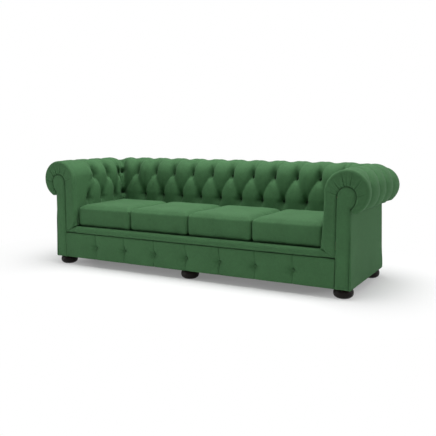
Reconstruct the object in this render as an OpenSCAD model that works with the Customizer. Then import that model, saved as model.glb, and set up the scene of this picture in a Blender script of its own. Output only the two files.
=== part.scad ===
// Four-seat rolled-arm sofa, deep-buttoned on the inside of the arms and back.
// Millimetres. +X runs along the sofa, the front faces -Y, the floor is z = 0.
// The section of an arm and of the back is drawn in (u, z): u grows outwards from the
// centre line of the roll, so x = roll_x + u in an arm and y = roll_y + u in the back.

/* [Overall] */
// Width across the two arm rolls
overall_w = 2370; // [2300:10:2480]
// Depth from the arm fronts to the back of the roll
overall_d = 850; // [830:5:900]
// Height of the arms and of the back
overall_h = 746; // [735:1:765]

/* [Roll and tufting] */
// Radius of the roll over its fullest puffs
roll_r = 137; // [134:1:142]
// Radius of the plain scroll at the arm fronts
scroll_r = 130; // [126:1:132]
// Radius of the roll at the upper row of buttons
pit_r = 82; // [78:1:86]
// Radius of the roll at the start of the outer pleats
pleat_r = 100; // [96:1:104]
// Angle of the start of the outer pleats above the horizontal
pleat_angle = 62; // [56:1:70]
// Lean of the tufted face of the arms, in degrees
arm_rake = 14; // [12:1:15]
// Lean of the tufted face of the back, in degrees
back_rake = 18; // [16:1:19]
// Distance between the lower and the upper row on the arms
arm_row_gap = 155; // [150:1:160]
// Distance between the lower and the upper row on the back
back_row_gap = 160; // [155:1:165]
// Distance from button to button along the arms
arm_pitch = 157; // [152:1:162]
// Distance from the arm front to the first lower button
arm_first = 168; // [160:1:180]
// Distance from button to button along the back
back_pitch = 164; // [158:1:170]
// Sideways place of the upper button nearest the middle of the back
back_shift = 23; // [0:1:60]
// Roll centre to the arm's inner face at the seat
arm_in = 142; // [140:1:146]
// Roll centre to the back's inner face at the seat
back_in = 156; // [152:1:158]
// Height of the pleats between two buttons, as a share of a puff
pleat_rise = 0.55; // [0.4:0.05:0.7]
// Radius of the roll's centre line in plan at the rear corners
corner_r = 65; // [60:1:80]
// Radius of a covered button
button_r = 9; // [7:0.5:11]
// Thickness of a covered button
button_t = 6; // [4:0.5:8]

/* [Seat] */
// Height of the sewn platform under the cushions
seat_z = 282; // [275:1:290]
// Thickness of a seat cushion at its edge
cushion_t = 138; // [125:1:150]
// Rise of a seat cushion's crown above its edge
cushion_crown = 17; // [10:1:22]
// Distance from the arm front to the cushion front
cushion_set = 27; // [22:1:34]
// Thickness of the padded platform
deck_t = 42; // [36:1:44]
// Height of the rounded lip under the cushions
lip_h = 51; // [48:1:54]

/* [Frame] */
// Height of the covered body above the floor
base_z = 56; // [50:1:62]
// Thickness of the cloth under the frame
dust_t = 1; // [1:0.5:2]
// Thickness of the front rail
front_rail_t = 26; // [22:1:28]
// Inset of the inner faces of the side and rear rails from the roll centre
rail_in = 14; // [14:1:18]
// Width of a post or upright
post_w = 34; // [30:1:36]
// Thickness of the scroll boards
scroll_board_t = 25; // [22:1:28]
// Thickness of the boards behind the tufting
board_t = 12; // [9:1:14]
// Height of an arm or back top rail
top_rail_h = 60; // [50:1:66]
// Thickness of a seat cross rail
cross_rail_t = 40; // [32:1:45]
// Height of a seat cross rail
cross_rail_h = 123; // [100:1:130]
// Height of a corner block
block_h = 40; // [34:1:50]
// Length of a corner block from the rails
block_l = 88; // [82:1:100]

/* [Cover] */
// Thickness of the outside arm and back panels
panel_t = 6; // [4:1:8]
// Roll centre to the outside panel at its top
panel_top_u = 27; // [25:1:30]
// Roll centre to the outside panel at its bottom
panel_base_u = 42; // [38:1:46]
// Drop of the outside panels' top below the roll centre
panel_drop = 109; // [105:1:113]
// Radius of the outside panels' rear corners at their top
panel_corner_r = 40; // [38:1:50]
// Thickness of the padded facings and of the gathered band on an arm front
facing_t = 12; // [10:1:14]
// Roll centre to the facing's inner edge
facing_in = 55; // [52:1:58]
// Roll centre to the facing's outer edge
facing_out = 28; // [26:1:32]
// Radius of the facing's round head
head_r = 55; // [53:1:57]
// Distance of the centre of the facing's head below the roll centre
head_drop = 20; // [16:1:24]
// Thickness of the band over the edge of a scroll board
band_t = 14; // [12:1:16]
// Swell of the gathered band in front of the arm front
band_crown = 5; // [3:1:6]
// Thickness of the tufted border under the lip
border_t = 33; // [33:1:36]
// Distance from button to button along the border
border_pitch = 245; // [235:1:250]
// Number of buttons on the border
border_count = 7; // [5:2:7]
// Depth of the border's buttons
border_pit = 17; // [12:1:20]
// Height of the border's buttons above the floor
border_button_z = 138; // [130:1:150]

/* [Webbing and feet] */
// Thickness of an elastic strap
strap_t = 3; // [2:0.5:4]
// Elastic straps under each cushion
straps_per_seat = 4; // [3:1:4]
// Width of an elastic strap
strap_w = 60; // [50:1:70]
// Largest radius of a bun foot
foot_r = 59; // [52:1:62]
// Radius of a bun foot's flat base
foot_base_r = 37; // [32:1:42]
// Inset of the front and corner feet from the roll centre, along X
foot_in = 20; // [19:1:30]
// Distance from the arm front to the front feet's centres
foot_front = 66; // [64:1:72]
// Distance from the roll centre to the rear feet's centres, along Y
foot_rear = 58; // [56:1:66]
// Radius of a foot's bolt
bolt_r = 4; // [3:0.5:5]
// Length of a foot's bolt
bolt_l = 66; // [60:1:72]
// Depth of a foot's bolt in the foot
bolt_bore = 31; // [26:1:36]

/* [Hidden] */
// Number of seat cushions
seats = 4;
// Gap between soft pieces that move past each other or only touch
clear = 0.4;
// Gap round a bolt in its hole
bolt_clear = 0.1;
// Faces of the round pieces that stay exact
$fn = 48;

// Distance from the arm front to the front of a scroll board
board_set = 8;
// Gap round the pieces of cover that meet at a seam
seam = 0.3;
face_y = -overall_d / 2 + band_crown;
roll_x = overall_w / 2 - roll_r;
roll_y = overall_d / 2 - roll_r;
roll_z = overall_h - roll_r;
panel_top_z = roll_z - panel_drop;

frame_z = base_z + dust_t;
deck_z = seat_z - deck_t;
lip_z = seat_z - lip_h;
rail_top_z = lip_z;
board_y = face_y + board_set;
board_back_y = board_y + scroll_board_t;
rail_y = face_y + border_t;
rail_back_y = rail_y + front_rail_t;
top_rail_z = roll_z - 21;
core_top_z = top_rail_z + top_rail_h + 2;

green = [0.24, 0.37, 0.24];
dark_green = [0.2, 0.32, 0.2];
timber = [0.76, 0.62, 0.42];
ply = [0.82, 0.7, 0.5];
steel = [0.6, 0.62, 0.64];
stained = [0.11, 0.06, 0.05];
black_cloth = [0.1, 0.1, 0.1];

// Rows of the tufted skin, counted in steps of one row: 0 the lower buttons, 1 the upper
// buttons, 2 the start of the pleats that run over the outside of the roll
rows = [-0.55, 0, 1 / 3, 2 / 3, 1, 4 / 3, 5 / 3, 2, 2.5, 3, 3.75];
// Columns of the skin from one button to the next
columns = 6;
// Turn of the roll for each row past the start of the outer pleats
outer_turn = pleat_angle;
// Smallest radius of the inner crease at a rear corner
crease_r = 6;
// Length along the skin over which a rear corner draws it in
crease_w = 45;
// Height of the skin in a rear corner's crease, as a share of a puff
crease_rise = 0.3;
// The same on the outside of the roll
crease_out = 0.9;
// Flattening of an arm's plain front at the lower buttons, as a share of a puff
front_flat = 0.48;
// Hollow behind the padding: inner face at the platform, inner and outer face at its top
core_low = 112;
core_top = 50;
core_out = 45;
// Outer edge of the padding's flat underside below the roll
under_u = 44;

// Inner face of the padding at height z
function core_u(z) = -core_low + (z - seat_z) * (core_low - core_top) / (core_top_z - seat_z);

// Outer and inner line of an outside panel at height z
function panel_u(z) = panel_base_u + (z - base_z) * (panel_top_u - panel_base_u) / (panel_top_z - base_z);
function side_u(z) = panel_u(z) - panel_t;

function mix(a, b, t) = a + (b - a) * t;
function limit(v, low, high) = max(low, min(high, v));

// Radius of the pits about the roll centre, past the upper row
function pit_radius(b) = mix(pit_r, pleat_r, limit(b - 1, 0, 1));

// Line through the pits at row b: [u, z, outward normal u, outward normal z]
function pit_line(b, rake, gap) =
    b <= 1
    ? let (down = 1 - max(b, 0), lower = min(b, 0))
      [
          -pit_r * cos(rake) - down * gap * sin(rake),
          roll_z + pit_r * sin(rake) - down * gap * cos(rake) + lower * gap,
          b < 0 ? -1 : -cos(rake),
          b < 0 ? 0 : sin(rake)
      ]
    : let (
          turn = b <= 2
              ? mix(180 - rake, pleat_angle, b - 1)
              : pleat_angle - (b - 2) * outer_turn,
          r = pit_radius(b)
      )
      [r * cos(turn), roll_z + r * sin(turn), cos(turn), sin(turn)];

// Height of a full puff above the pit line at row b
function relief(b, rake, gap, inner, outer_r) =
    let (
        low = inner + pit_line(0, rake, gap)[0],
        first = low / cos(rake)
    )
    b < 0 ? low
    : b <= 1 ? mix(first, outer_r - pit_r, b)
    : outer_r - pit_radius(b);

// Height between two pleats that are d1 and d2 away, where 0 is on a pleat and 1 is farthest
function between(d1, d2) =
    pleat_rise * pow(max(d1, d2), 0.9) + (1 - pleat_rise) * pow(min(d1, d2), 0.55);

// Height of the bottom of a straight pleat that runs on from a row of buttons
function run_out(b) = b < 0 ? min(0.85, -1.2 * b) : min(0.6, 0.8 * (b - 2));

// Share of a full puff at column a and row b of an endless tufted face
function puff(a, b) =
    b < 0 || b > 2
    ? let (d = abs(sin(180 * a))) mix(run_out(b), 1, between(d, d))
    : between(abs(sin(180 * (a - b / 2))), abs(sin(180 * (a + b / 2))));

// The same with the plain front of an arm ahead of its first buttons
function arm_puff(a, b) =
    let (
        first = b <= 0 || b >= 2 ? 0 : (b <= 1 ? b / 2 : 1 - b / 2),
        ahead = first - a,
        d = sin(180 * limit(ahead, 0, 0.5))
    )
    ahead <= 0 ? puff(a, b)
    : b < 0 || b > 2 ? mix(run_out(b), 1, between(d, d))
    : between(d, max(abs(sin(180 * b)), d));

// One closed section of the padding at share h(b) of the puffs, as [u, z, row, share]
function section(h, rake, gap, inner, outer_r) =
    concat(
        [[-inner, seat_z, -1, 1]],
        [
            for (i = [0:len(rows) - 1])
                let (
                    b = rows[i],
                    p = pit_line(b, rake, gap),
                    rise = h[i] * relief(b, rake, gap, inner, outer_r)
                )
                [p[0] + rise * p[2], p[1] + rise * p[3], b, h[i]]
        ],
        [
            [under_u, panel_top_z, 4, 0],
            [panel_top_u - panel_t, panel_top_z, 4, 0],
            [core_out, core_top_z, 0, 0],
            [-core_top, core_top_z, 0, 0],
            [-core_low, seat_z, -1, 0]
        ]
    );

// Plan radius of a rear corner at offset u
function plan_r(u) = max(corner_r + u, crease_r);

// Place along a straight side: past straight_to the side is drawn in to end where the
// corner starts at this offset
function along(s, full, end, straight_to) =
    s <= straight_to ? s : straight_to + (s - straight_to) * (end - straight_to) / (full - straight_to);

// Slip along an arm of row b: the upper buttons sit past the half pitch, and the pleats
// over the outside of the roll run forward
upper_slip = 0.1;
outer_slip = 0.48;
function slip(b) =
    (upper_slip * sin(90 * limit(b, 0, 2)) - outer_slip * limit(2 * (b - 2), 0, 1)) * arm_pitch;

straight_y = roll_y - back_in - crease_r - crease_w;
straight_x = roll_x - back_in - crease_r - crease_w;

// Point [x, y, z, share] of the right arm at station [s, turn, share of the slip]
function arm_point(station, p) =
    let (u = p[0], r = plan_r(u), turn = station[1])
    turn == 0
    ? [
          roll_x + u,
          along(station[0] + slip(p[2]) * station[2], roll_y - corner_r, roll_y + u - r, straight_y),
          p[1],
          p[3]
      ]
    : [roll_x + u - r + r * cos(turn), roll_y + u - r + r * sin(turn), p[1], p[3]];

// Point [x, y, z, share] of the back at station [s, turn], turn negative in the left corner
function back_point(station, p) =
    let (
        u = p[0],
        r = plan_r(u),
        turn = station[1],
        side = station[0] < 0 ? -1 : 1,
        x = along(abs(station[0]), roll_x - corner_r, roll_x + u - r, straight_x)
    )
    turn == 0
    ? [side * x, roll_y + u, p[1], p[3]]
    : [side * (roll_x + u - r + r * sin(abs(turn))), roll_y + u - r + r * cos(turn), p[1], p[3]];

// Share of the corner's crease at a distance from the mitre
function crease(distance) = exp(-pow(distance / crease_w, 2));
function crease_height(b) = mix(crease_rise, crease_out, limit(b - 2, 0, 1));

mean_rake = (arm_rake + back_rake) / 2;
mean_gap = (arm_row_gap + back_row_gap) / 2;
mean_in = (arm_in + back_in) / 2;

// Section blended from a side's own sizes to the mean of both sides in the corner
function side_section(h, weight, rake, gap, inner, outer_r) =
    section(
        [for (i = [0:len(rows) - 1]) mix(h[i], crease_height(rows[i]), weight)],
        mix(rake, mean_rake, weight),
        mix(gap, mean_gap, weight),
        mix(inner, mean_in, weight),
        outer_r
    );

corner_turns = [22.5, 45];
corner_arc = corner_r * PI / 4;

arm_start = board_back_y;
arm_end = roll_y - corner_r;
arm_tuft = face_y + arm_first;
arm_front_steps = 3;

// Stations of the right arm: [place, turn, share of the slip]
arm_stations = concat(
    [
        for (i = [0:arm_front_steps - 1])
            [mix(arm_start, arm_tuft, i / arm_front_steps), 0, i / arm_front_steps]
    ],
    [
        for (k = [0:floor((arm_end - clear - arm_tuft) / arm_pitch * columns) - 1])
            let (s = arm_tuft + k * arm_pitch / columns)
            [s, 0, limit((arm_end - s) / (0.5 * arm_pitch), 0, 1)]
    ],
    [[arm_end, 0, 0]],
    [for (t = corner_turns) [arm_end, t, 0]]
);

function flat(b) = b < 0 ? front_flat * (1 + b) : (b < 1 ? front_flat * pow(1 - b, 2) : 0);

function arm_ring(station) =
    let (
        a = (station[0] + station[1] - arm_tuft) / arm_pitch,
        to_mitre = arm_end - station[0] + corner_arc * (1 - station[1] / 45),
        front = limit((arm_tuft - station[0]) / (arm_tuft - arm_start), 0, 1),
        outer_r = mix(roll_r, scroll_r, front)
    )
    [
        for (p = side_section(
            [for (b = rows) arm_puff(a, b) * (1 - front * flat(b))],
            crease(to_mitre), arm_rake, arm_row_gap, arm_in, outer_r
        ))
            arm_point(station, p)
    ];

back_end = roll_x - corner_r;
back_reach = back_end - 1.7 * crease_w;
back_first = back_shift - back_pitch / 2;
back_step = back_pitch / columns;

back_low = ceil((-back_reach - back_first) / back_step);
back_high = floor((back_reach - back_first) / back_step);
back_stations = concat(
    [for (t = [len(corner_turns) - 1:-1:0]) [-back_end, -corner_turns[t]]],
    [[-back_end, 0]],
    [for (k = [back_low:back_high]) [back_first + k * back_step, 0]],
    [[back_end, 0]],
    [for (t = corner_turns) [back_end, t]]
);

function back_ring(station) =
    let (
        a = (station[0] - back_first) / back_pitch,
        to_mitre = back_end - abs(station[0]) + corner_arc * (1 - abs(station[1]) / 45)
    )
    [
        for (p = side_section(
            [for (b = rows) puff(a, b)],
            crease(to_mitre), back_rake, back_row_gap, back_in, roll_r
        ))
            back_point(station, p)
    ];

// Shares of a puff closer than this count as even
even_share = 0.000001;

// Closed solid through a row of rings that all have the same number of points. Each
// patch is split along its diagonal with the lower shares of a puff, where the pleats
// lie, or along the shorter one where the shares are even
module loft(rings) {
    n = len(rings[0]);
    last = len(rings) - 1;
    points = [for (ring = rings) for (p = ring) p];
    corners = [for (p = points) [p[0], p[1], p[2]]];
    shares = len(points[0]) == 4;
    sides = [
        for (i = [0:last - 1])
            for (j = [0:n - 1])
                let (
                    a = i * n + j,
                    b = i * n + (j + 1) % n,
                    c = a + n,
                    d = b + n,
                    gain = shares ? points[b][3] + points[c][3] - points[a][3] - points[d][3] : 0,
                    down = abs(gain) > even_share
                        ? gain > 0
                        : norm(corners[a] - corners[d]) <= norm(corners[b] - corners[c])
                )
                each (down ? [[a, b, d], [a, d, c]] : [[a, b, c], [b, d, c]])
    ];
    caps = [
        [for (j = [n - 1:-1:0]) j],
        [for (j = [0:n - 1]) last * n + j]
    ];
    polyhedron(corners, concat(sides, caps), convexity = 8);
}

module mirrored() {
    mirror([1, 0, 0]) children();
}

// Solid along an arm, from y0 to y1, of a section drawn in (u, z)
module along_arm(y0, y1) {
    translate([roll_x, y1, 0]) rotate([90, 0, 0]) linear_extrude(y1 - y0) children();
}

// Solid along the back, from x0 to x1, of a section drawn in (u, z)
module along_back(x0, x1) {
    translate([x0, roll_y, 0]) rotate([90, 0, 90]) linear_extrude(x1 - x0) children();
}

// Section from a plane at u to the inside of an outside panel
module wall_section(u, z0, z1) {
    polygon([[u, z0], [side_u(z0), z0], [side_u(z1), z1], [u, z1]]);
}

module block(x0, x1, y0, y1, z0, z1) {
    translate([x0, y0, z0]) cube([x1 - x0, y1 - y0, z1 - z0]);
}

// Frame
module bolt_holes(places, low, high) {
    for (p = places) translate([p[0], p[1], low]) cylinder(h = high - low, r = bolt_r + bolt_clear);
}

foot_x = roll_x - foot_in;
front_foot_y = face_y + foot_front;
rear_foot_y = roll_y - foot_rear;
foot_places = [
    for (y = [front_foot_y, rear_foot_y]) for (x = [-foot_x, 0, foot_x]) [x, y]
];
bolt_low = base_z - bolt_bore;
bolt_high = bolt_low + bolt_l;

module front_rail() {
    color(timber) block(rail_in - roll_x, roll_x - rail_in, rail_y, rail_back_y, frame_z, rail_top_z);
}

module rear_rail() {
    color(timber)
        along_back(rail_in - roll_x, roll_x - rail_in) wall_section(-rail_in, frame_z, rail_top_z);
}

module right_side_rail() {
    color(timber) along_arm(rail_y, roll_y - rail_in) wall_section(-rail_in, frame_z, rail_top_z);
}

module left_side_rail() {
    mirrored() right_side_rail();
}

cushion_edge = roll_x - arm_in;
cushion_pitch = 2 * cushion_edge / seats;
// Place along X of the cross rails and of the back's uprights
rib_x = cushion_pitch;

module cross_rail(x) {
    color(timber) difference() {
        block(
            x - cross_rail_t / 2, x + cross_rail_t / 2, rail_back_y, roll_y - rail_in,
            frame_z, frame_z + cross_rail_h
        );
        if (x == 0) bolt_holes(foot_places, frame_z - 1, bolt_high + 1);
    }
}

module left_cross_rail() {
    cross_rail(-rib_x);
}

module centre_cross_rail() {
    cross_rail(0);
}

module right_cross_rail() {
    cross_rail(rib_x);
}

module corner_block(y0) {
    block(roll_x - rail_in - block_l, roll_x - rail_in, y0, y0 + block_l, frame_z, frame_z + block_h);
}

module corner_blocks() {
    color(timber) difference() {
        union() {
            for (y0 = [rail_back_y, roll_y - rail_in - post_w - block_l]) {
                corner_block(y0);
                mirrored() corner_block(y0);
            }
        }
        bolt_holes(foot_places, frame_z - 1, frame_z + block_h + 1);
    }
}

ledger_t = 26;
ledger_h = 36;

module webbing_ledgers() {
    end = roll_x - rail_in - post_w;
    color(timber) for (y = [rail_back_y, roll_y - rail_in - ledger_t])
        block(-end, end, y, y + ledger_t, rail_top_z - ledger_h, rail_top_z);
}

// Turn of the end of the gathered band, and its steps round the roll
band_end = -59;
band_turns = 34;

// Inner edge of the arm front at height z, up to the roll
function band_edge(z) = mix(-arm_in, -scroll_r, limit((z - seat_z) / (panel_top_z - seat_z), 0, 1));
board_foot = facing_in + seam;
board_step_z = seat_z + 1;

head_u = 2;
head_z = roll_z - head_drop;
// Height of the lower half of the facing's oval head
head_low = 80;
// Height of the top of the facing's straight inner edge, under the start of its head
head_low_z = head_z - 20;
facing_roll = 3;
head_end = -acos((facing_out - head_u) / head_r);
head_turns = 34;

// Height over the head's centre of the head's edge at turn t
function head_rise(t, inset) = ((t < 0 ? head_low : head_r) - inset) * sin(t);

// Even steps of the band up the straight part of an arm front
band_rises = 4;
// Thickness and height of the band's tail, tucked in over the outside panel
tuck_t = 3;
tuck_z = panel_top_z + 3.3;

// Stations of the band: [inner edge, outer edge, outward direction, swell, thickness]
band_line = concat(
    [
        for (i = [0:band_rises])
            let (z = mix(board_step_z, head_low_z, i / band_rises))
            [[-facing_in - seam, z], [band_edge(z), z], [-1, 0], 1, band_t]
    ],
    [
        for (i = [0:band_turns])
            let (t = mix(180, band_end, i / band_turns), in_r = head_r + seam)
            [
                [i == 0 ? -facing_in - seam : head_u + in_r * cos(t), head_z + head_rise(t, -seam)],
                [scroll_r * cos(t), roll_z + scroll_r * sin(t)],
                [cos(t), sin(t)],
                i % 3 == 1 ? 0.55 : 1,
                band_t
            ]
    ],
    [[
        [facing_out + seam, head_z + head_low * sin(head_end)],
        [facing_out + seam, tuck_z],
        [0, -1],
        0.2,
        tuck_t
    ]]
);

// Inside of the band over the edge of the scroll board
function band_inside(s) = s[1] - s[2] * s[4];

module right_scroll_board() {
    tuck = band_inside(band_line[len(band_line) - 1]);
    color(ply) along_arm(board_y, board_back_y) polygon(concat(
        [[-board_foot, frame_z], [side_u(frame_z), frame_z], [side_u(panel_top_z), panel_top_z]],
        [[side_u(panel_top_z), tuck[1]]],
        [for (i = [len(band_line) - 1:-1:0]) band_inside(band_line[i])],
        [[-board_foot, board_step_z]]
    ));
}

module left_scroll_board() {
    mirrored() right_scroll_board();
}

module right_rear_post() {
    color(timber) block(
        roll_x - rail_in - post_w, roll_x - rail_in,
        roll_y - rail_in - post_w, roll_y - rail_in,
        frame_z, top_rail_z
    );
}

module left_rear_post() {
    mirrored() right_rear_post();
}

post_in = rail_in + post_w;
arm_upright_y = -60;

module right_arm_upright() {
    color(timber) along_arm(arm_upright_y - post_w / 2, arm_upright_y + post_w / 2)
        wall_section(-post_in, rail_top_z, top_rail_z);
}

module left_arm_upright() {
    mirrored() right_arm_upright();
}

module back_upright(x) {
    color(timber) along_back(x - post_w / 2, x + post_w / 2) wall_section(-post_in, rail_top_z, top_rail_z);
}

module left_back_upright() {
    back_upright(-rib_x);
}

module centre_back_upright() {
    back_upright(0);
}

module right_back_upright() {
    back_upright(rib_x);
}

// Thickness of the inner boards along u, their drop below the top of the hollow, and the
// outer edge of the top rails
board_u = board_t + 0.2;
board_drop = 5;
top_rail_out = 19;

module top_rail_section() {
    polygon([
        [core_u(top_rail_z) + board_u, top_rail_z],
        [top_rail_out, top_rail_z],
        [top_rail_out, top_rail_z + top_rail_h],
        [core_u(top_rail_z + top_rail_h) + board_u, top_rail_z + top_rail_h],
    ]);
}

module right_arm_top_rail() {
    color(timber) along_arm(rail_y, roll_y - rail_in) top_rail_section();
}

module left_arm_top_rail() {
    mirrored() right_arm_top_rail();
}

module back_top_rail() {
    color(timber) along_back(post_in + 0.5 - roll_x, roll_x - post_in - 0.5) top_rail_section();
}

module inner_board_section() {
    high = core_top_z - board_drop;
    polygon([
        [core_u(seat_z), seat_z],
        [core_u(seat_z) + board_u, seat_z],
        [core_u(high) + board_u, high],
        [core_u(high), high],
    ]);
}

// Plan of the space in front of a mitre through the rear corners, up to a height
module mitre_plan(points) {
    linear_extrude(overall_h) polygon(points);
}

module right_arm_board() {
    color(ply) intersection() {
        along_arm(board_back_y, roll_y) inner_board_section();
        mitre_plan([
            [roll_x - arm_in, board_back_y],
            [roll_x, board_back_y],
            [roll_x, roll_y],
            [roll_x - arm_in, roll_y - arm_in],
        ]);
    }
}

module left_arm_board() {
    mirrored() right_arm_board();
}

module back_board() {
    color(ply) intersection() {
        along_back(-roll_x, roll_x) inner_board_section();
        mitre_plan([
            [arm_in - roll_x, roll_y - arm_in],
            [roll_x - arm_in, roll_y - arm_in],
            [roll_x, roll_y],
            [-roll_x, roll_y],
        ]);
    }
}

// Webbing, platform and cloth
strap_z = deck_z - seam - strap_t;
strap_places = [
    for (i = [0:seats * straps_per_seat - 1]) cushion_pitch / straps_per_seat * (i + 0.5) - cushion_edge
];

module seat_webbing() {
    color(black_cloth) for (x = strap_places)
        block(x - strap_w / 2, x + strap_w / 2, rail_back_y, roll_y - rail_in, strap_z, strap_z + strap_t);
}

clip_side = 4;
clip_l = 20;

module webbing_clips() {
    color(steel) for (x = strap_places) for (y = [rail_back_y, roll_y - rail_in - clip_l])
        block(x - strap_w / 2 - clip_side, x + strap_w / 2 + clip_side, y, y + clip_l, rail_top_z, strap_z);
}

module seat_deck() {
    edge = roll_x - post_in - 1;
    color(dark_green) block(-edge, edge, rail_back_y + 1, roll_y - post_in - 1, deck_z, seat_z);
}

module dust_cover() {
    edge = roll_x + panel_base_u - panel_t - 1;
    back = roll_y + panel_base_u - panel_t - 1;
    cut = panel_base_u;
    color(black_cloth) difference() {
        translate([0, 0, base_z]) linear_extrude(dust_t) polygon([
            [-edge, rail_y], [edge, rail_y], [edge, back - cut], [edge - cut, back],
            [cut - edge, back], [-edge, back - cut],
        ]);
        bolt_holes(foot_places, base_z - 1, frame_z + 1);
    }
}

// Padding, as a face pad below the upper buttons and a roll pad over the top rail
row_top = 4;
ring_end = len(rows) + 4;

// Part of a closed section from the platform up to the upper buttons
function face_part(ring) =
    [for (i = concat([for (k = [0:row_top + 1]) k], [ring_end, ring_end + 1])) ring[i]];

// Part of a closed section from the upper buttons over the roll
function roll_part(ring) = [for (i = [row_top + 1:ring_end]) ring[i]];

arm_rings = [for (i = [len(arm_stations) - 1:-1:0]) arm_ring(arm_stations[i])];
back_rings = [for (s = back_stations) back_ring(s)];

module right_arm_pad() {
    color(green) loft([for (ring = arm_rings) face_part(ring)]);
}

module left_arm_pad() {
    mirrored() right_arm_pad();
}

module back_pad() {
    color(green) loft([for (ring = back_rings) face_part(ring)]);
}

module right_arm_roll() {
    color(green) loft([for (ring = arm_rings) roll_part(ring)]);
}

module left_arm_roll() {
    mirrored() right_arm_roll();
}

module back_roll() {
    color(green) loft([for (ring = back_rings) roll_part(ring)]);
}

// Facings and the gathered bands round them
function facing_outline(inset) = concat(
    [[inset - facing_in, base_z + inset], [facing_out - inset, base_z + inset]],
    [
        for (i = [0:head_turns])
            let (
                r = head_r - inset,
                t = mix(-acos((facing_out - head_u - inset) / r), 180, i / head_turns)
            )
            [head_u + r * cos(t), head_z + head_rise(t, inset)]
    ],
    [[inset - facing_in, head_low_z]]
);

module right_facing() {
    front = board_y - facing_t;
    color(green) {
        along_arm(front + facing_roll, board_y) polygon(facing_outline(0));
        along_arm(front, front + facing_roll) polygon(facing_outline(facing_roll));
    }
}

module left_facing() {
    mirrored() right_facing();
}

function band_ring(s) =
    let (
        inner = s[0],
        outer = s[1],
        edge = band_inside(s),
        front = face_y - band_crown * s[3]
    )
    [
        for (p = [
            [inner, board_y],
            [inner, face_y + 1],
            [mix(inner, outer, 0.3), front],
            [mix(inner, outer, 0.75), front],
            [outer - s[2] * 2, face_y + 2],
            [outer, board_y],
            [outer, board_back_y],
            [edge, board_back_y],
            [edge, board_y],
        ])
            [roll_x + p[0][0], p[1], p[0][1]]
    ];

module right_arm_band() {
    color(green) loft([for (s = band_line) band_ring(s)]);
}

module left_arm_band() {
    mirrored() right_arm_band();
}

// Outside panels
panel_high = panel_top_z - seam;
corner_in = panel_corner_r - panel_top_u;

module panel_section(shift) {
    polygon([
        [side_u(base_z) + shift, base_z],
        [panel_u(base_z) + shift, base_z],
        [panel_u(panel_high) + shift, panel_high],
        [side_u(panel_high) + shift, panel_high],
    ]);
}

module right_outside_arm() {
    lap = facing_out + clear;
    // Height where the panel narrows to a lap 1 mm wide
    lap_high = mix(base_z, panel_top_z, (panel_base_u - lap - 1) / (panel_base_u - panel_top_u));
    color(green) {
        along_arm(board_y, roll_y - corner_in) panel_section(0);
        along_arm(face_y, board_y) polygon([
            [lap, base_z], [panel_u(base_z), base_z], [panel_u(lap_high), lap_high], [lap, lap_high],
        ]);
    }
}

module left_outside_arm() {
    mirrored() right_outside_arm();
}

module outside_corner() {
    translate([roll_x - corner_in, roll_y - corner_in, 0])
        rotate_extrude(angle = 90) panel_section(corner_in);
}

module outside_back() {
    color(green) {
        along_back(corner_in - roll_x, roll_x - corner_in) panel_section(0);
        outside_corner();
        mirrored() outside_corner();
    }
}

// Lip and tufted border under the seat
front_edge = roll_x - board_foot - seam;

module front_lip() {
    r = lip_h / 2;
    color(green) translate([-front_edge, 0, 0]) rotate([90, 0, 90]) linear_extrude(2 * front_edge) {
        translate([face_y + 2 + r, lip_z + r]) circle(r);
        translate([face_y + 2 + r, lip_z]) square([rail_back_y - 1 - face_y - 2 - r, lip_h]);
    }
}

border_steps = 4;
// Heights of the border's rows of points, each with its share of the pits and its roll
border_rows = [
    [base_z, 0, 6],
    [base_z + 24, 0.15, 1.5],
    [border_button_z - 28, 0.45, 0],
    [border_button_z, 1, 0],
    [border_button_z + 28, 0.45, 0],
    [lip_z - 30, 0.15, 1.5],
    [lip_z, 0, 6],
];
border_half = floor(front_edge / border_pitch * border_steps);
border_stations = concat(
    [-front_edge],
    [for (k = [-border_half:border_half]) k * border_pitch / border_steps],
    [front_edge]
);

function border_ring(x) =
    let (near = 1 - pow(abs(sin(180 * x / border_pitch)), 0.6))
    concat(
        [[x, rail_y, base_z]],
        [for (r = border_rows) [x, face_y + r[2] + border_pit * r[1] * near, r[0]]],
        [[x, rail_y, lip_z]]
    );

module front_border() {
    color(green) loft([for (x = border_stations) border_ring(x)]);
}

// Seat cushions
cushion_front = face_y + cushion_set;
cushion_back = roll_y - back_in - clear;
cushion_a = cushion_pitch / 2 - clear;
cushion_b = (cushion_back - cushion_front) / 2;
// Radius of a cushion's front and rear corners in plan
cushion_corners = [22, 40];
// Bow of a cushion's sides
cushion_bow = 2;
// Insets and heights of a cushion's outlines, from the bottom to the crown
cushion_loops = [
    [15, 0], [5, 4], [0, 16], [0, cushion_t - 18], [4, cushion_t - 6], [14, cushion_t],
    [60, cushion_t + 0.6 * cushion_crown], [120, cushion_t + 0.92 * cushion_crown],
    [175, cushion_t + cushion_crown],
];

function cushion_loop(inset, z) =
    let (a = cushion_a - inset, b = cushion_b - inset)
    [
        for (q = [0:3])
            let (
                sx = q == 0 || q == 3 ? 1 : -1,
                sy = q < 2 ? 1 : -1,
                r = max(cushion_corners[q < 2 ? 1 : 0] - inset * 0.6, 8)
            )
            each concat(
                [for (t = [0, 30, 60, 90]) [
                    sx * (a - cushion_bow - r) + r * cos(90 * q + t),
                    sy * (b - cushion_bow - r) + r * sin(90 * q + t),
                    z
                ]],
                [q % 2 == 0 ? [0, sy * b, z] : [sx * a, 0, z]]
            )
    ];

module seat_cushion(i) {
    color(green) translate([
        (i - 0.5) * cushion_pitch - cushion_edge, (cushion_front + cushion_back) / 2, seat_z + clear
    ])
        loft([
            for (j = [len(cushion_loops) - 1:-1:0])
                cushion_loop(cushion_loops[j][0], cushion_loops[j][1])
        ]);
}

module seat_cushion_1() {
    seat_cushion(1);
}

module seat_cushion_2() {
    seat_cushion(2);
}

module seat_cushion_3() {
    seat_cushion(3);
}

module seat_cushion_4() {
    seat_cushion(4);
}

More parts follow.
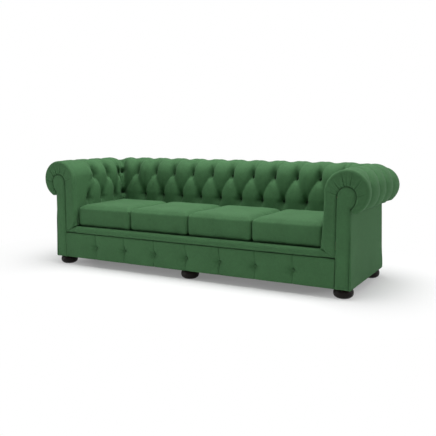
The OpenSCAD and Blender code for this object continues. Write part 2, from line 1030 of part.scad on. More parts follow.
// Buttons
// Radius of a button's shank and length of its pointed tip
shank_r = 1.2;
shank_tip = 3;
// Lengths of the shanks in the tufts, in the corners' creases and on the border
deep_rise = 15;
corner_rise = 39;
border_rise = 5;
// Height of a corner's shank over the bottom of its crease, and the turn of the upper one
corner_seat = 1.7;
corner_twist = 9;
// Lean towards the front of an arm's last upper button, which the corner crowds
corner_tilt = 24;

// Covered button on its shank along +Z, with the shank's tip at the origin
module button(rise) {
    cylinder(h = shank_tip, r1 = shank_r / 4, r2 = shank_r);
    translate([0, 0, shank_tip]) cylinder(h = rise - shank_tip, r = shank_r);
    translate([0, 0, rise]) cylinder(h = button_t / 3, r1 = 0.75 * button_r, r2 = button_r);
    translate([0, 0, rise + button_t / 3]) cylinder(h = button_t / 3, r = button_r);
    translate([0, 0, rise + button_t * 2 / 3])
        cylinder(h = button_t / 3, r1 = button_r, r2 = 0.6 * button_r);
}

// Turn from +Z to the outward normal of the pit line at row b
function lean(b, rake) = let (p = pit_line(b, rake, 0)) atan2(p[2], p[3]);

module arm_button(s, b, rise = deep_rise, tilt = 0) {
    p = pit_line(b, arm_rake, arm_row_gap);
    place = arm_point([s, 0, 1], [p[0], p[1], b]);
    translate([place[0], place[1], place[2]])
        rotate([0, lean(b, arm_rake), 0]) rotate([tilt, 0, 0]) button(rise);
}

module right_arm_buttons() {
    color(dark_green) for (k = [0:2]) {
        arm_button(arm_tuft + k * arm_pitch, 0);
        if (k < 2) arm_button(arm_tuft + (k + 0.5) * arm_pitch, 1);
        else arm_button(arm_tuft + (k + 0.5) * arm_pitch, 1, 0.7 * corner_rise, corner_tilt);
    }
}

module left_arm_buttons() {
    mirrored() right_arm_buttons();
}

module back_button(s, b) {
    p = pit_line(b, back_rake, back_row_gap);
    place = back_point([s, 0], [p[0], p[1], b]);
    translate([place[0], place[1], place[2]]) rotate([-lean(b, back_rake), 0, 0]) button(deep_rise);
}

module corner_button(b) {
    p = pit_line(b, mean_rake, mean_gap);
    rise = crease_height(b) * relief(b, mean_rake, mean_gap, mean_in, roll_r);
    u = p[0] + rise * p[2];
    reach = u - plan_r(u) * (1 - cos(45));
    translate([roll_x + reach, roll_y + reach, p[1] + rise * p[3]])
        rotate([0, lean(b, mean_rake), 45 - corner_twist * b])
            translate([0, 0, corner_seat]) button(corner_rise - corner_seat);
}

back_half = floor((roll_x - back_in) / back_pitch);
// Half length of the back that has whole tufts
button_reach = straight_x + crease_w / 3;

module back_buttons() {
    color(dark_green) {
        for (b = [0, 1])
            for (k = [-back_half:back_half])
                let (x = back_first + (k + b / 2) * back_pitch)
                if (abs(x) < button_reach) back_button(x, b);
        for (b = [0, 1]) {
            corner_button(b);
            mirrored() corner_button(b);
        }
    }
}

module border_buttons() {
    color(dark_green) for (k = [0:border_count - 1])
        translate([(k - (border_count - 1) / 2) * border_pitch, face_y + border_pit, border_button_z])
            rotate([90, 0, 0]) button(border_rise);
}

// Feet
// Insets from a foot's largest radius and heights as a share of the foot, from low to high
foot_rings = [[6, 0.18], [1.5, 0.34], [0, 0.52], [1, 0.7], [5, 0.86], [11, 1]];
foot_edge = 4;

module foot(x, y) {
    color(stained) translate([x, y, 0]) difference() {
        rotate_extrude() polygon(concat(
            [[0, 0], [foot_base_r, 0], [foot_base_r + foot_edge, foot_edge * 0.4]],
            [for (p = foot_rings) [foot_r - p[0], p[1] * base_z]],
            [[0, base_z]]
        ));
        translate([0, 0, bolt_low]) cylinder(h = bolt_bore + 1, r = bolt_r + bolt_clear);
    }
}

module front_left_foot() {
    foot(-foot_x, front_foot_y);
}

module front_middle_foot() {
    foot(0, front_foot_y);
}

module front_right_foot() {
    foot(foot_x, front_foot_y);
}

module rear_left_foot() {
    foot(-foot_x, rear_foot_y);
}

module rear_middle_foot() {
    foot(0, rear_foot_y);
}

module rear_right_foot() {
    foot(foot_x, rear_foot_y);
}

module foot_bolts() {
    color(steel) for (p = foot_places) translate([p[0], p[1], bolt_low]) cylinder(h = bolt_l, r = bolt_r);
}

front_rail();
rear_rail();
left_side_rail();
right_side_rail();
left_cross_rail();
centre_cross_rail();
right_cross_rail();
corner_blocks();
webbing_ledgers();
left_scroll_board();
right_scroll_board();
left_rear_post();
right_rear_post();
left_arm_upright();
right_arm_upright();
left_back_upright();
centre_back_upright();
right_back_upright();
left_arm_top_rail();
right_arm_top_rail();
back_top_rail();
left_arm_board();
right_arm_board();
back_board();
seat_webbing();
webbing_clips();
seat_deck();
dust_cover();
left_arm_pad();
right_arm_pad();
back_pad();
left_arm_roll();
right_arm_roll();
back_roll();
left_arm_band();
right_arm_band();
left_facing();
right_facing();
left_outside_arm();
right_outside_arm();
outside_back();
front_lip();
front_border();
seat_cushion_1();
seat_cushion_2();
seat_cushion_3();
seat_cushion_4();
back_buttons();
left_arm_buttons();
right_arm_buttons();
border_buttons();
front_left_foot();
front_middle_foot();
front_right_foot();
rear_left_foot();
rear_middle_foot();
rear_right_foot();
foot_bolts();
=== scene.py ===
import math

import bmesh
import bpy
import numpy as np
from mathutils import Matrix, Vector


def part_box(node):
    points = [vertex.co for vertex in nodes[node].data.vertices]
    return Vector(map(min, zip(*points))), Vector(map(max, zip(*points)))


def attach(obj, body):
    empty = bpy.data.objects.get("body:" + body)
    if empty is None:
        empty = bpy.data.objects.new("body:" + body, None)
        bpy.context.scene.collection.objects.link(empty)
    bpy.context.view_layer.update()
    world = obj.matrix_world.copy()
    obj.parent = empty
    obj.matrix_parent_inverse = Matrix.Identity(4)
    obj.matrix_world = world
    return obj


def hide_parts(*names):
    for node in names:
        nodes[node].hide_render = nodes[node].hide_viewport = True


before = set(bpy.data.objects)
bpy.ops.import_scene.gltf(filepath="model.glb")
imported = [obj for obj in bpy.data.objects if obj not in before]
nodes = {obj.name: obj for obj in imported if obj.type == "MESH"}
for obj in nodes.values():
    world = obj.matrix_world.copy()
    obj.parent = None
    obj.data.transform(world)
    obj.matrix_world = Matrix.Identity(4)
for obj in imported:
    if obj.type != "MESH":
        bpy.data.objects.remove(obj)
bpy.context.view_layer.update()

# Sizes shared with the solids, in metres and degrees
OVERALL_W, OVERALL_D, OVERALL_H = 2.370, 0.850, 0.746
ROLL_R, SCROLL_R, PIT_R, PLEAT_R = 0.137, 0.130, 0.082, 0.100
PLEAT_ANGLE = 62.0
ARM_RAKE, BACK_RAKE = 14.0, 18.0
ARM_GAP, BACK_GAP = 0.155, 0.160
ARM_PITCH, BACK_PITCH = 0.157, 0.164
ARM_FIRST, BACK_SHIFT = 0.168, 0.023
ARM_IN, BACK_IN = 0.142, 0.156
CORNER_R, CREASE_R, CREASE_W, FACE_CREASE_W = 0.065, 0.022, 0.045, 0.026
SEAT_Z, CUSHION_T = 0.282, 0.138
BASE_Z, LIP_H, PANEL_Z, PANEL_T = 0.056, 0.051, 0.500, 0.006
PANEL_TOP, PANEL_BASE, PANEL_CORNER = 0.027, 0.042, 0.040
FACING_IN, FACING_OUT = 0.055, 0.028
HEAD_R, HEAD_LOW, HEAD_U, HEAD_DROP = 0.055, 0.080, 0.002, 0.020
BAND_END = -59.0
BORDER_PITCH, BORDER_COUNT, BORDER_PIT, BORDER_BUTTON_Z = 0.245, 7, 0.017, 0.138
FACE_Y = -OVERALL_D / 2 + 0.005
ROLL_X, ROLL_Y, ROLL_Z = OVERALL_W / 2 - ROLL_R, OVERALL_D / 2 - ROLL_R, OVERALL_H - ROLL_R
PAD_Y = FACE_Y + 0.033
CORE_TOP_Z = ROLL_Z + 0.041
LIP_Z = SEAT_Z - LIP_H

# Detail of the tufting. Rows count from the lower buttons at 0 over the upper ones at 1 and the top
# of the roll near 2 to its outer side at 3. Heights and depths are shares of a puff's height, and
# slips are shares of a pitch. FINE is the rings to a row, and to half a pitch.
FINE = 18
CREASE_OUT = 0.9
PLEAT_RISE, UPPER_RISE = 0.62, 0.74
ARM_LIFT, BACK_LIFT = 0.68, 0.34
PIT_LOW, PIT_HIGH, ARM_PIT_HIGH = 1.25, 0.42, 1.0
LOWER_FLOOR, UPPER_FLOOR = -1.3, -0.28
UPPER_SLIP, OUTER_SLIP = 0.1, 0.48
FRONT_FLAT = 0.48
SLIT, ARM_SLIT, REAR_SLIT = 0.46, 0.70, 0.15
SLIT_W, ARM_SLIT_W, SLIT_BELOW, SLIT_ABOVE = 0.22, 0.38, 0.09, 0.46
CREASE_FOLD, CREASE_PUFF, CREASE_DIP, CREASE_LOW, CREASE_HIGH = 0.45, 0.15, 0.11, 1.1, 0.62
UNDER_PLEAT, UNDER_SLOPE, TOP_PLEAT, LAST_PLEAT = 0.85, 1.2, 0.50, 0.06
LOW_ROW, LAST_ROW, PIT_LAST_ROW, SLIP_ROW = -1.2, 1.75, 1.7, 1.8
CORNER_GROW = 0.68
TUFT_RUMPLE, COARSE, MEDIUM = 0.0012, 22, 70

# Seat cushions: the start of the swelling, what it may do, and the crown of the unswollen shape
SWELL_VOXEL, SWELL_CAP, SWELL_T, SWELL_TOP, START_CROWN = 0.007, 0.012, 0.141, 0.161, 0.007
SEAM_DROP, SEAM_IN, SOFT_EDGE, LOW_EDGE = 0.018, 0.0010, 0.042, 0.017

MIRROR = np.array([-1, 1, 1])


def mix(a, b, t):
    return a + (b - a) * t


def unit(t):
    return np.clip(t, 0, 1)


def ease(t):
    t = unit(t)
    return t * t * (3 - 2 * t)


def bell(x, width):
    return np.exp(-(x / width) ** 2)


def cosd(t):
    return np.cos(np.radians(t))


def sind(t):
    return np.sin(np.radians(t))


def wobble(p, scale, seed):
    """Smooth noise in about -1..1 at points p (n, 3): a sum of a few sine waves."""
    rng = np.random.default_rng(seed)
    out = np.zeros(len(p))
    total = 0.0
    for octave in range(3):
        for _ in range(5):
            k = rng.normal(size=3)
            k *= scale * (1.9 ** octave) * rng.uniform(0.7, 1.3) / np.linalg.norm(k)
            out += np.sin(p @ k + rng.uniform(0, 6.28)) * 0.6 ** octave
            total += 0.6 ** octave
    return out / total * 2.2


def wobble_at(x, y, z, scale, seed):
    """The same noise at grids of coordinates."""
    return wobble(np.stack([x.ravel(), y.ravel(), z.ravel()], 1), scale, seed).reshape(x.shape)


# Materials -------------------------------------------------------------------------

def add(tree, kind, inputs=(), **settings):
    """New node in tree, with its settings and the values of its inputs."""
    new = tree.nodes.new("ShaderNode" + kind)
    for name, value in settings.items():
        setattr(new, name, value)
    for name, value in dict(inputs).items():
        new.inputs[name].default_value = value
    return new


def new_material(name, **inputs):
    """Material, its tree and its shader, with inputs written as Base_Color and so on."""
    m = bpy.data.materials.new(name)
    m.use_nodes = True
    bsdf = m.node_tree.nodes["Principled BSDF"]
    for key, value in inputs.items():
        bsdf.inputs[key.replace("_", " ")].default_value = value
    return m, m.node_tree, bsdf


def noise(tree, source, scale, detail, distortion=0.0):
    n = add(tree, "TexNoise", {"Scale": scale, "Detail": detail, "Distortion": distortion})
    tree.links.new(source, n.inputs["Vector"])
    return n.outputs["Fac"]


def blended(tree, share, first, second):
    n = add(tree, "Mix", {0: share}, data_type="FLOAT")
    tree.links.new(first, n.inputs[2])
    tree.links.new(second, n.inputs[3])
    return n.outputs[0]


def shaded(tree, share, bsdf, *stops):
    """Base colour between two stops, each a position and a colour."""
    ramp = add(tree, "ValToRGB")
    for element, (position, colour) in zip(ramp.color_ramp.elements, stops):
        element.position = position
        element.color = tuple(colour) + (1,)
    tree.links.new(share, ramp.inputs[0])
    tree.links.new(ramp.outputs[0], bsdf.inputs["Base Color"])


def roughened(tree, share, bsdf, low, high):
    n = add(tree, "MapRange", {"To Min": low, "To Max": high})
    tree.links.new(share, n.inputs["Value"])
    tree.links.new(n.outputs[0], bsdf.inputs["Roughness"])


def bumped(tree, height, target, strength, distance):
    """Bump node that feeds target's Normal."""
    n = add(tree, "Bump", {"Strength": strength, "Distance": distance})
    tree.links.new(height, n.inputs["Height"])
    tree.links.new(n.outputs[0], target.inputs["Normal"])
    return n


def fabric(name, colour, thread=0.0011, sheen=0.06):
    """Woven cloth: two crossed sets of threads, flecked colour and a soft nap."""
    m, t, bsdf = new_material(name, Specular_IOR_Level=0.12, Sheen_Weight=sheen, Sheen_Roughness=0.38,
                              Sheen_Tint=(0.72, 0.95, 0.72, 1))
    coord = add(t, "TexCoord")
    cross = add(t, "Math", operation="MULTIPLY")
    for place, (direction, shift) in enumerate((("X", 0.0), ("Y", 1.7))):
        threads = {"Scale": 0.314 / thread, "Distortion": 1.6, "Detail": 2.0, "Detail Scale": 1.4,
                   "Phase Offset": shift}
        w = add(t, "TexWave", threads, wave_type="BANDS", bands_direction=direction, wave_profile="SIN")
        t.links.new(coord.outputs["UV"], w.inputs["Vector"])
        t.links.new(w.outputs["Fac"], cross.inputs[place])
    fleck = noise(t, coord.outputs["Object"], 420.0, 3.0)
    cloud = noise(t, coord.outputs["Object"], 7.0, 4.0)
    pile = noise(t, coord.outputs["Object"], 60.0, 3.0)
    weave = blended(t, 0.45, fleck, cross.outputs[0])
    shade = blended(t, 0.22, blended(t, 0.3, weave, pile), cloud)
    shaded(t, shade, bsdf, (0.18, [c * 0.68 for c in colour]), (0.72, [min(1, c * 1.32) for c in colour]))
    roughened(t, pile, bsdf, 0.74, 0.92)
    bumped(t, pile, bumped(t, weave, bsdf, 0.5, 0.0005), 0.35, 0.0025)
    return m


def wood(name, colour, gloss, stretch=(1, 14, 14), dark=0.55, specular=0.5):
    """Timber, ply or polished wood. The grain runs along the axis that stretch scales least."""
    m, t, bsdf = new_material(name, Specular_IOR_Level=specular)
    mapping = add(t, "Mapping", {"Scale": stretch})
    t.links.new(add(t, "TexCoord").outputs["Object"], mapping.inputs["Vector"])
    grain = noise(t, mapping.outputs[0], 6.0, 8.0, 1.2)
    shaded(t, grain, bsdf, (0.3, [c * dark for c in colour]), (0.7, colour))
    roughened(t, grain, bsdf, 1 - gloss, min(1.0, 1.15 - gloss))
    bumped(t, grain, bsdf, 0.25, 0.0006)
    return m


def steel(name):
    m, t, bsdf = new_material(name, Metallic=1.0, Base_Color=(0.55, 0.57, 0.6, 1))
    roughened(t, noise(t, add(t, "TexCoord").outputs["Object"], 90.0, 2.0), bsdf, 0.28, 0.5)
    return m


GREEN = (0.055, 0.141, 0.058)
cloth = fabric("green_cloth", GREEN)
# Tufting buttons: the green at three tenths, painted shade standing in for the shadow deep in their pits
button_cloth = fabric("button_cloth", tuple(c * 0.30 for c in GREEN), thread=0.0009, sheen=0.0)
# Border buttons: the green a little darker, painted shade of the dimples they sit in
border_button_painted_shade = fabric("border_button_cloth_painted_shade", tuple(c * 0.85 for c in GREEN), thread=0.0009)
lining = fabric("lining_cloth", tuple(c * 0.8 for c in GREEN), thread=0.0007, sheen=0.2)
black_cloth = fabric("black_cloth", (0.012, 0.012, 0.012), thread=0.0012, sheen=0.1)
softwood = wood("sawn_softwood", (0.55, 0.36, 0.19), 0.3)
plywood = wood("birch_ply", (0.62, 0.44, 0.26), 0.35, (3, 3, 30))
stained = wood("dark_polished_wood", (0.009, 0.004, 0.003), 0.62, (3, 3, 9), 0.4, 0.18)
zinc = steel("zinc_steel")


# Meshes ----------------------------------------------------------------------------

def read(items, key, width=1, kind=np.float32):
    """One property of all items, one row an item where it has more than one value."""
    flat = np.zeros(len(items) * width, kind)
    items.foreach_get(key, flat)
    return flat.reshape(-1, width) if width > 1 else flat


def show(name, data):
    obj = bpy.data.objects.new(name, data)
    bpy.context.scene.collection.objects.link(obj)
    return obj


def grid_object(name, points, material, wrap_u=False, wrap_v=False, share=None, caps=(False, False),
                flip=False):
    """Surface through points (rows, columns, 3). Rows run along u, columns along v.
    Patches with a share are split along their lower diagonal, where a pleat lies."""
    rows, cols = points.shape[:2]
    verts = points.reshape(-1, 3)
    ri = np.arange(rows if wrap_u else rows - 1)
    ci = np.arange(cols if wrap_v else cols - 1)
    r, c = np.meshgrid(ri, ci, indexing="ij")
    a = (r * cols + c).ravel()
    b = (r * cols + (c + 1) % cols).ravel()
    d = (((r + 1) % rows) * cols + c).ravel()
    e = (((r + 1) % rows) * cols + (c + 1) % cols).ravel()
    if share is None:
        faces = np.stack([a, b, e, d], 1).tolist()
    else:
        s = share.reshape(-1)
        low = s[a] + s[e] <= s[b] + s[d]
        first = np.where(low[:, None], np.stack([a, b, e], 1), np.stack([a, b, d], 1))
        other = np.where(low[:, None], np.stack([a, e, d], 1), np.stack([b, e, d], 1))
        faces = np.concatenate([first, other]).tolist()
    if flip:
        faces = [f[::-1] for f in faces]
    if caps[0]:
        ring = list(range(cols))
        faces.append(ring if flip else ring[::-1])
    if caps[1]:
        ring = [(rows - 1) * cols + i for i in range(cols)]
        faces.append(ring[::-1] if flip else ring)
    mesh = bpy.data.meshes.new(name)
    mesh.from_pydata(verts.tolist(), [], faces)
    layer = mesh.uv_layers.new(name="UVMap")
    du = np.linalg.norm(np.diff(points, axis=0), axis=2).mean(1)
    dv = np.linalg.norm(np.diff(points, axis=1), axis=2).mean(0)
    u = np.concatenate([[0], np.cumsum(du)])
    v = np.concatenate([[0], np.cumsum(dv)])
    uv = np.stack(np.meshgrid(u, v, indexing="ij"), 2).reshape(-1, 2)
    loops = read(mesh.loops, "vertex_index", kind=np.int32)
    layer.data.foreach_set("uv", uv[loops].astype(np.float32).ravel())
    mesh.materials.append(material)
    mesh.validate()
    mesh.update()
    mesh.shade_smooth()
    return show(name, mesh)


def put(obj, body, slot, *replaced, fill=None):
    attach(obj, body)
    if replaced:
        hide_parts(*replaced)
    return obj


def cover(name, points, flip, *replaced, fill=0.8, share=None, flat_ends=True):
    """Padded green piece on the frame, round along v and closed at both ends."""
    obj = grid_object(name, points, cloth, wrap_v=True, share=share, caps=(True, True), flip=flip)
    for poly in obj.data.polygons:
        if flat_ends and len(poly.vertices) > 4:
            poly.use_smooth = False
    return put(obj, "frame", "upholstery", *replaced, fill=fill)


# Tufting ---------------------------------------------------------------------------

def side_u(z):
    return mix(PANEL_BASE, PANEL_TOP, (z - BASE_Z) / (PANEL_Z - BASE_Z)) - PANEL_T


def pit_radius(b):
    return mix(PIT_R, PLEAT_R, unit(b - 1))


def pit_line(b, rake, gap):
    """Line through the pits at rows b: u, z and the outward normal, for arrays."""
    down = 1 - np.maximum(b, 0)
    lower = np.minimum(b, 0)
    u = -PIT_R * cosd(rake) - down * gap * sind(rake)
    z = ROLL_Z + PIT_R * sind(rake) - down * gap * cosd(rake) + lower * gap
    nu = np.where(b < 0, -1.0, -cosd(rake))
    nz = np.where(b < 0, 0.0, sind(rake))
    turn = np.where(b <= 2, mix(180 - rake, PLEAT_ANGLE, b - 1), PLEAT_ANGLE * (1 - (b - 2)))
    r = pit_radius(b)
    over = b > 1
    u = np.where(over, r * cosd(turn), u)
    z = np.where(over, ROLL_Z + r * sind(turn), z)
    nu = np.where(over, cosd(turn), nu)
    nz = np.where(over, sind(turn), nz)
    return u, z, nu, nz


def relief(b, rake, gap, inner, outer_r):
    """How far the fullest cloth stands off the pit line at rows b."""
    low = inner + (-PIT_R * cosd(rake) - gap * sind(rake))
    first = low / cosd(rake)
    face = mix(first, outer_r - PIT_R, unit(b))
    return np.where(b < 0, low, np.where(b <= 1, face, outer_r - pit_radius(b)))


def between(crisp, soft, rise=PLEAT_RISE, lift=0.30):
    """Height between two pleats: a narrow tuck at the crisp one, a wide valley at the soft one."""
    big, small = np.maximum(crisp, soft), np.minimum(crisp, soft)
    lean = (crisp - soft) / (crisp + soft + 1e-6)
    full = 1 - (1 - small ** (1.30 + 0.25 * lean)) ** 2.5
    floor = mix(rise, 1, lift * ease((lean + 1) / 2))
    return floor * big ** 0.62 + (1 - floor) * full


def pleats(a, b):
    """Distances to the two slanting pleat lines, 0 on a line and 1 half way between two."""
    return np.abs(sind(180 * (a - b / 2))), np.abs(sind(180 * (a + b / 2)))


def pit_drop(b, on_arm=False):
    """Extra depth of a button's pit, as a share of the puff's height."""
    return mix(PIT_LOW, ARM_PIT_HIGH if on_arm else PIT_HIGH, unit(b))


def pit(d1, d2, wide=0.30):
    """Share of a button's own pit where the two pleat lines are d1 and d2 away."""
    return np.exp(-(d1 ** 2 + d2 ** 2) / (2 * wide ** 2))


def pit_end(b):
    """Fades the pits out over the roll, where there are no buttons."""
    return unit(PIT_LAST_ROW - b)


def floor_of(b):
    """Lowest that the cloth reaches, so that it stays off the board behind it."""
    return mix(LOWER_FLOOR, UPPER_FLOOR, unit(b))


def slit(a, b, on_arm=False):
    """Dark opening that runs up from each upper button and ends short below it."""
    side = np.abs(sind(180 * (a - 0.5)))
    up = np.where(b < 1, (1 - b) / SLIT_BELOW, (b - 1) / SLIT_ABOVE)
    wide = (ARM_SLIT_W if on_arm else SLIT_W) + 0.20 * unit(b - 1)
    deep = mix(ARM_SLIT, REAR_SLIT, ease((a - 1.8) / 0.5)) if on_arm else SLIT
    return deep * bell(side, wide) * bell(up, 1) * (np.abs(b - 1) < 1)


def fold_rise(b):
    return mix(PLEAT_RISE, UPPER_RISE, unit((b - 1) * 2))


def over_floor(b):
    """Height of the pleats' bottom as they pass over the top of the roll."""
    return TOP_PLEAT * ease(b - 1)


def straight_puff(d, b):
    """Puff between the straight pleats above and below the buttons."""
    top = mix(TOP_PLEAT, LAST_PLEAT, ease((b - 2) / 0.5))
    low = np.where(b < 0, np.minimum(UNDER_PLEAT, -UNDER_SLOPE * b), top)
    over = 0.80 * d ** 0.40 + 0.20 * (1 - (1 - d) ** 2)
    return mix(low, 1, np.where(b < 0, between(d, d), over))


def puff(a, b, on_arm=False):
    """Height of the padding at columns a and rows b, 0 on the pit line and 1 at its fullest."""
    d = np.abs(sind(180 * a))
    d1, d2 = pleats(a, b)
    low = over_floor(b)
    tucks = (d2, d1) if on_arm else (d1, d2)
    fade = 1 - 0.65 * ease((a - 2.0) / 0.4) * unit(b) if on_arm else 1
    diamond = low + (1 - low) * between(*tucks, fold_rise(b), ARM_LIFT if on_arm else BACK_LIFT)
    diamond = diamond - slit(a, b, on_arm) - fade * pit_drop(b, on_arm) * pit(d1, d2) * pit_end(b)
    straight = straight_puff(d, b)
    under = straight - PIT_LOW * pit(d, np.abs(b) * math.pi / 2)
    upper = np.where(b > 2, straight, np.maximum(diamond, floor_of(b)))
    return np.where(b < 0, under, upper)


def arm_puff(a, b):
    """The same for an arm, whose cloth ahead of the first pleats runs plain to the front."""
    first = np.where((b <= 0) | (b >= 2), 0.0, np.where(b <= 1, b / 2, 1 - b / 2))
    ahead = first - a
    d = sind(180 * np.clip(ahead, 0, 0.5))
    side = np.abs(sind(180 * b))
    low = over_floor(b)
    wide = np.maximum(side, d)
    rise = fold_rise(b)
    flank = np.where(b < 1, between(wide, d, rise, ARM_LIFT), between(d, wide, rise, ARM_LIFT))
    plain = np.where((b < 0) | (b > 2), straight_puff(d, b), low + (1 - low) * flank)
    near = np.where(ahead < 0.5, 1.0, 0.0) * np.where(b < 1.5, 1.0, 0.0)
    below = pit(np.abs(sind(180 * a)), np.abs(b) * math.pi / 2)
    drop = np.where(b < 0, below, pit(*pleats(a, b)) * pit_end(b))
    plain = np.maximum(plain - pit_drop(b, True) * drop * near, floor_of(b))
    return np.where(ahead <= 0, puff(a, b, True), plain)


def crease_height(b):
    """Height of the skin in a rear corner's crease: a fold that dips at its two buttons."""
    fold = CREASE_FOLD + CREASE_PUFF * np.abs(sind(180 * b)) * (b < 1)
    dip = bell(b, CREASE_DIP) * CREASE_LOW + bell(b - 1, CREASE_DIP) * CREASE_HIGH
    return mix(fold - dip, CREASE_OUT, unit(b - 2))


MEAN_RAKE, MEAN_GAP, MEAN_IN = (ARM_RAKE + BACK_RAKE) / 2, (ARM_GAP + BACK_GAP) / 2, (ARM_IN + BACK_IN) / 2
ROWS = np.concatenate([
    np.arange(int(LOW_ROW * FINE), 0) / FINE,
    np.arange(0, 2 * FINE) / FINE,
    2 + np.arange(0, int(LAST_ROW * FINE) + 1) / FINE,
])
# Back of the padding, from under the roll round its core to the seat: u and z
TAIL = [(0.062, PANEL_Z + 0.003), (0.044, PANEL_Z), (PANEL_TOP - PANEL_T, PANEL_Z), (0.045, CORE_TOP_Z),
        (-0.038, CORE_TOP_Z), (-0.104, SEAT_Z)]
STRAIGHT_Y = ROLL_Y - BACK_IN - CREASE_R - CREASE_W
STRAIGHT_X = ROLL_X - BACK_IN - CREASE_R - CREASE_W
ARM_END, BACK_END = ROLL_Y - CORNER_R, ROLL_X - CORNER_R
ARM_TUFT = FACE_Y + ARM_FIRST
BACK_FIRST = BACK_SHIFT - BACK_PITCH / 2
ARC = CORNER_R * math.pi / 4
MITRE_U = -0.105
TURNS = np.linspace(0, 45, 9)[1:]
UP = 2 * FINE


def plan_r(u):
    """Radius in plan of the rear corner, where the padding stands u outside the roll's middle."""
    return np.maximum(CORNER_R + np.where(u > 0, CORNER_GROW * u, u), CREASE_R)


def section(h, weight, rake, gap, inner, outer_r):
    """Rings of the padding: h (stations, rows), the rest per station. Returns u, z, rows, share."""
    w = weight[:, -1:]
    rake_, gap_, inner_ = mix(rake, MEAN_RAKE, w), mix(gap, MEAN_GAP, w), mix(inner, MEAN_IN, w)
    b = ROWS[None, :] + 0 * w
    h = mix(h, crease_height(b), weight)
    pu, pz, nu, nz = pit_line(b, rake_, gap_)
    rise = h * relief(b, rake_, gap_, inner_, outer_r[:, None])
    one = np.ones((len(weight), 1))
    tail_u, tail_z = (one * np.array(v) for v in zip(*TAIL))
    u = np.concatenate([-inner_ * one, pu + rise * nu, tail_u], 1)
    z = np.concatenate([SEAT_Z * one, pz + rise * nz, tail_z], 1)
    rows = np.concatenate([-1.25 * one, b, one * [4, 4, 4, 0, 0, 0]], 1)
    share = np.concatenate([one, h, 0 * tail_u], 1)
    return u, z, rows, share


def along(s, full, end, straight_to):
    """Places s, squeezed past straight_to so that full falls on end."""
    past = (s - straight_to) * (end - straight_to) / (full - straight_to)
    return np.where(s <= straight_to, s, straight_to + past)


def crease(full, end, s, turn, straight_to, b):
    """Share of the corner crease at stations s, turn and rows b: by the distance to the
    mitre along the face for the buttoned rows, and along the roll above them."""
    reach = end + MITRE_U - CREASE_R
    left = 1 - turn / 45
    near = np.maximum(reach - along(s, full, reach, straight_to), 0) + CREASE_R * math.pi / 4 * left
    over = full - s + ARC * left
    top = unit(b - 1.2)[None, :]
    width = mix(FACE_CREASE_W, CREASE_W, top)
    return np.exp(-(mix(near[:, None], over[:, None], top) / width) ** 2)


def to_corner(a, last, pitch, first, s, full, end, straight_to, turn, lean):
    """Column a of the tufting, led past its last free button to meet the corner's own one,
    which is the next column. lean is how far that moves up a row."""
    b = ROWS
    u = pit_line(b, MEAN_RAKE, MEAN_GAP)[0][None, :]
    spot = end + u
    reach = spot - CREASE_R
    bend = (turn[:, None] > 0) * CREASE_R * turn[:, None] / 45
    here = along(s[:, None] + 0 * u, full, reach, straight_to) + bend
    start = first + last * pitch
    t = np.clip((here - start) / (spot - start), 0, 1.2)
    led = last + (1.0 + lean * unit(b)[None, :]) * t
    keep = unit((b - 1.0) / 0.5)[None, :]
    return np.where(here > start, mix(led, a, keep), a)


def slip(b):
    return UPPER_SLIP * sind(90 * np.clip(b, 0, 2)) * ARM_PITCH


def arm_points():
    """Rings of the right arm's padding from its front to the mitre, and their shares."""
    front = np.linspace(PAD_Y, ARM_TUFT, 25)[:-1]
    steps = int((ARM_END - 0.0004 - ARM_TUFT) / ARM_PITCH * UP)
    tufted = ARM_TUFT + np.arange(steps) * ARM_PITCH / UP
    s = np.concatenate([front, tufted, [ARM_END], np.full(len(TURNS), ARM_END)])
    turn = np.concatenate([np.zeros(len(front) + len(tufted) + 1), TURNS])
    started = unit((front - PAD_Y) / (ARM_TUFT - PAD_Y))
    share = np.concatenate([started, np.ones(len(tufted)), np.zeros(1 + len(TURNS))])
    share = share * unit((ARM_END - s) / (0.5 * ARM_PITCH))
    a = (s + turn / 1000 - ARM_TUFT) / ARM_PITCH
    mitre = crease(ARM_END, ROLL_Y, s, turn, STRAIGHT_Y, ROWS)
    ahead = unit((ARM_TUFT - s) / (ARM_TUFT - PAD_Y))
    b = ROWS[None, :]
    flat = np.where(b < 0, FRONT_FLAT * (1 + b), np.where(b < 1, FRONT_FLAT * (1 - b) ** 2, 0.0))
    column = a[:, None] + 0 * b
    column = to_corner(column, 2, ARM_PITCH, ARM_TUFT, s, ARM_END, ROLL_Y, STRAIGHT_Y, turn, -0.1)
    column = column + OUTER_SLIP * ease(b - SLIP_ROW)
    h = arm_puff(column, b) * (1 - ahead[:, None] * unit(flat))
    u, z, rows, sh = section(h, mitre, ARM_RAKE, ARM_GAP, ARM_IN, mix(ROLL_R, SCROLL_R, ahead))
    r = plan_r(u)
    t = turn[:, None]
    ys = s[:, None] + slip(rows) * share[:, None]
    y_flat = along(ys, ROLL_Y - CORNER_R, ROLL_Y + u - r, STRAIGHT_Y)
    x = np.where(t == 0, ROLL_X + u, ROLL_X + u - r + r * cosd(t))
    y = np.where(t == 0, y_flat, ROLL_Y + u - r + r * sind(t))
    return np.stack([x, y, z], 2), sh


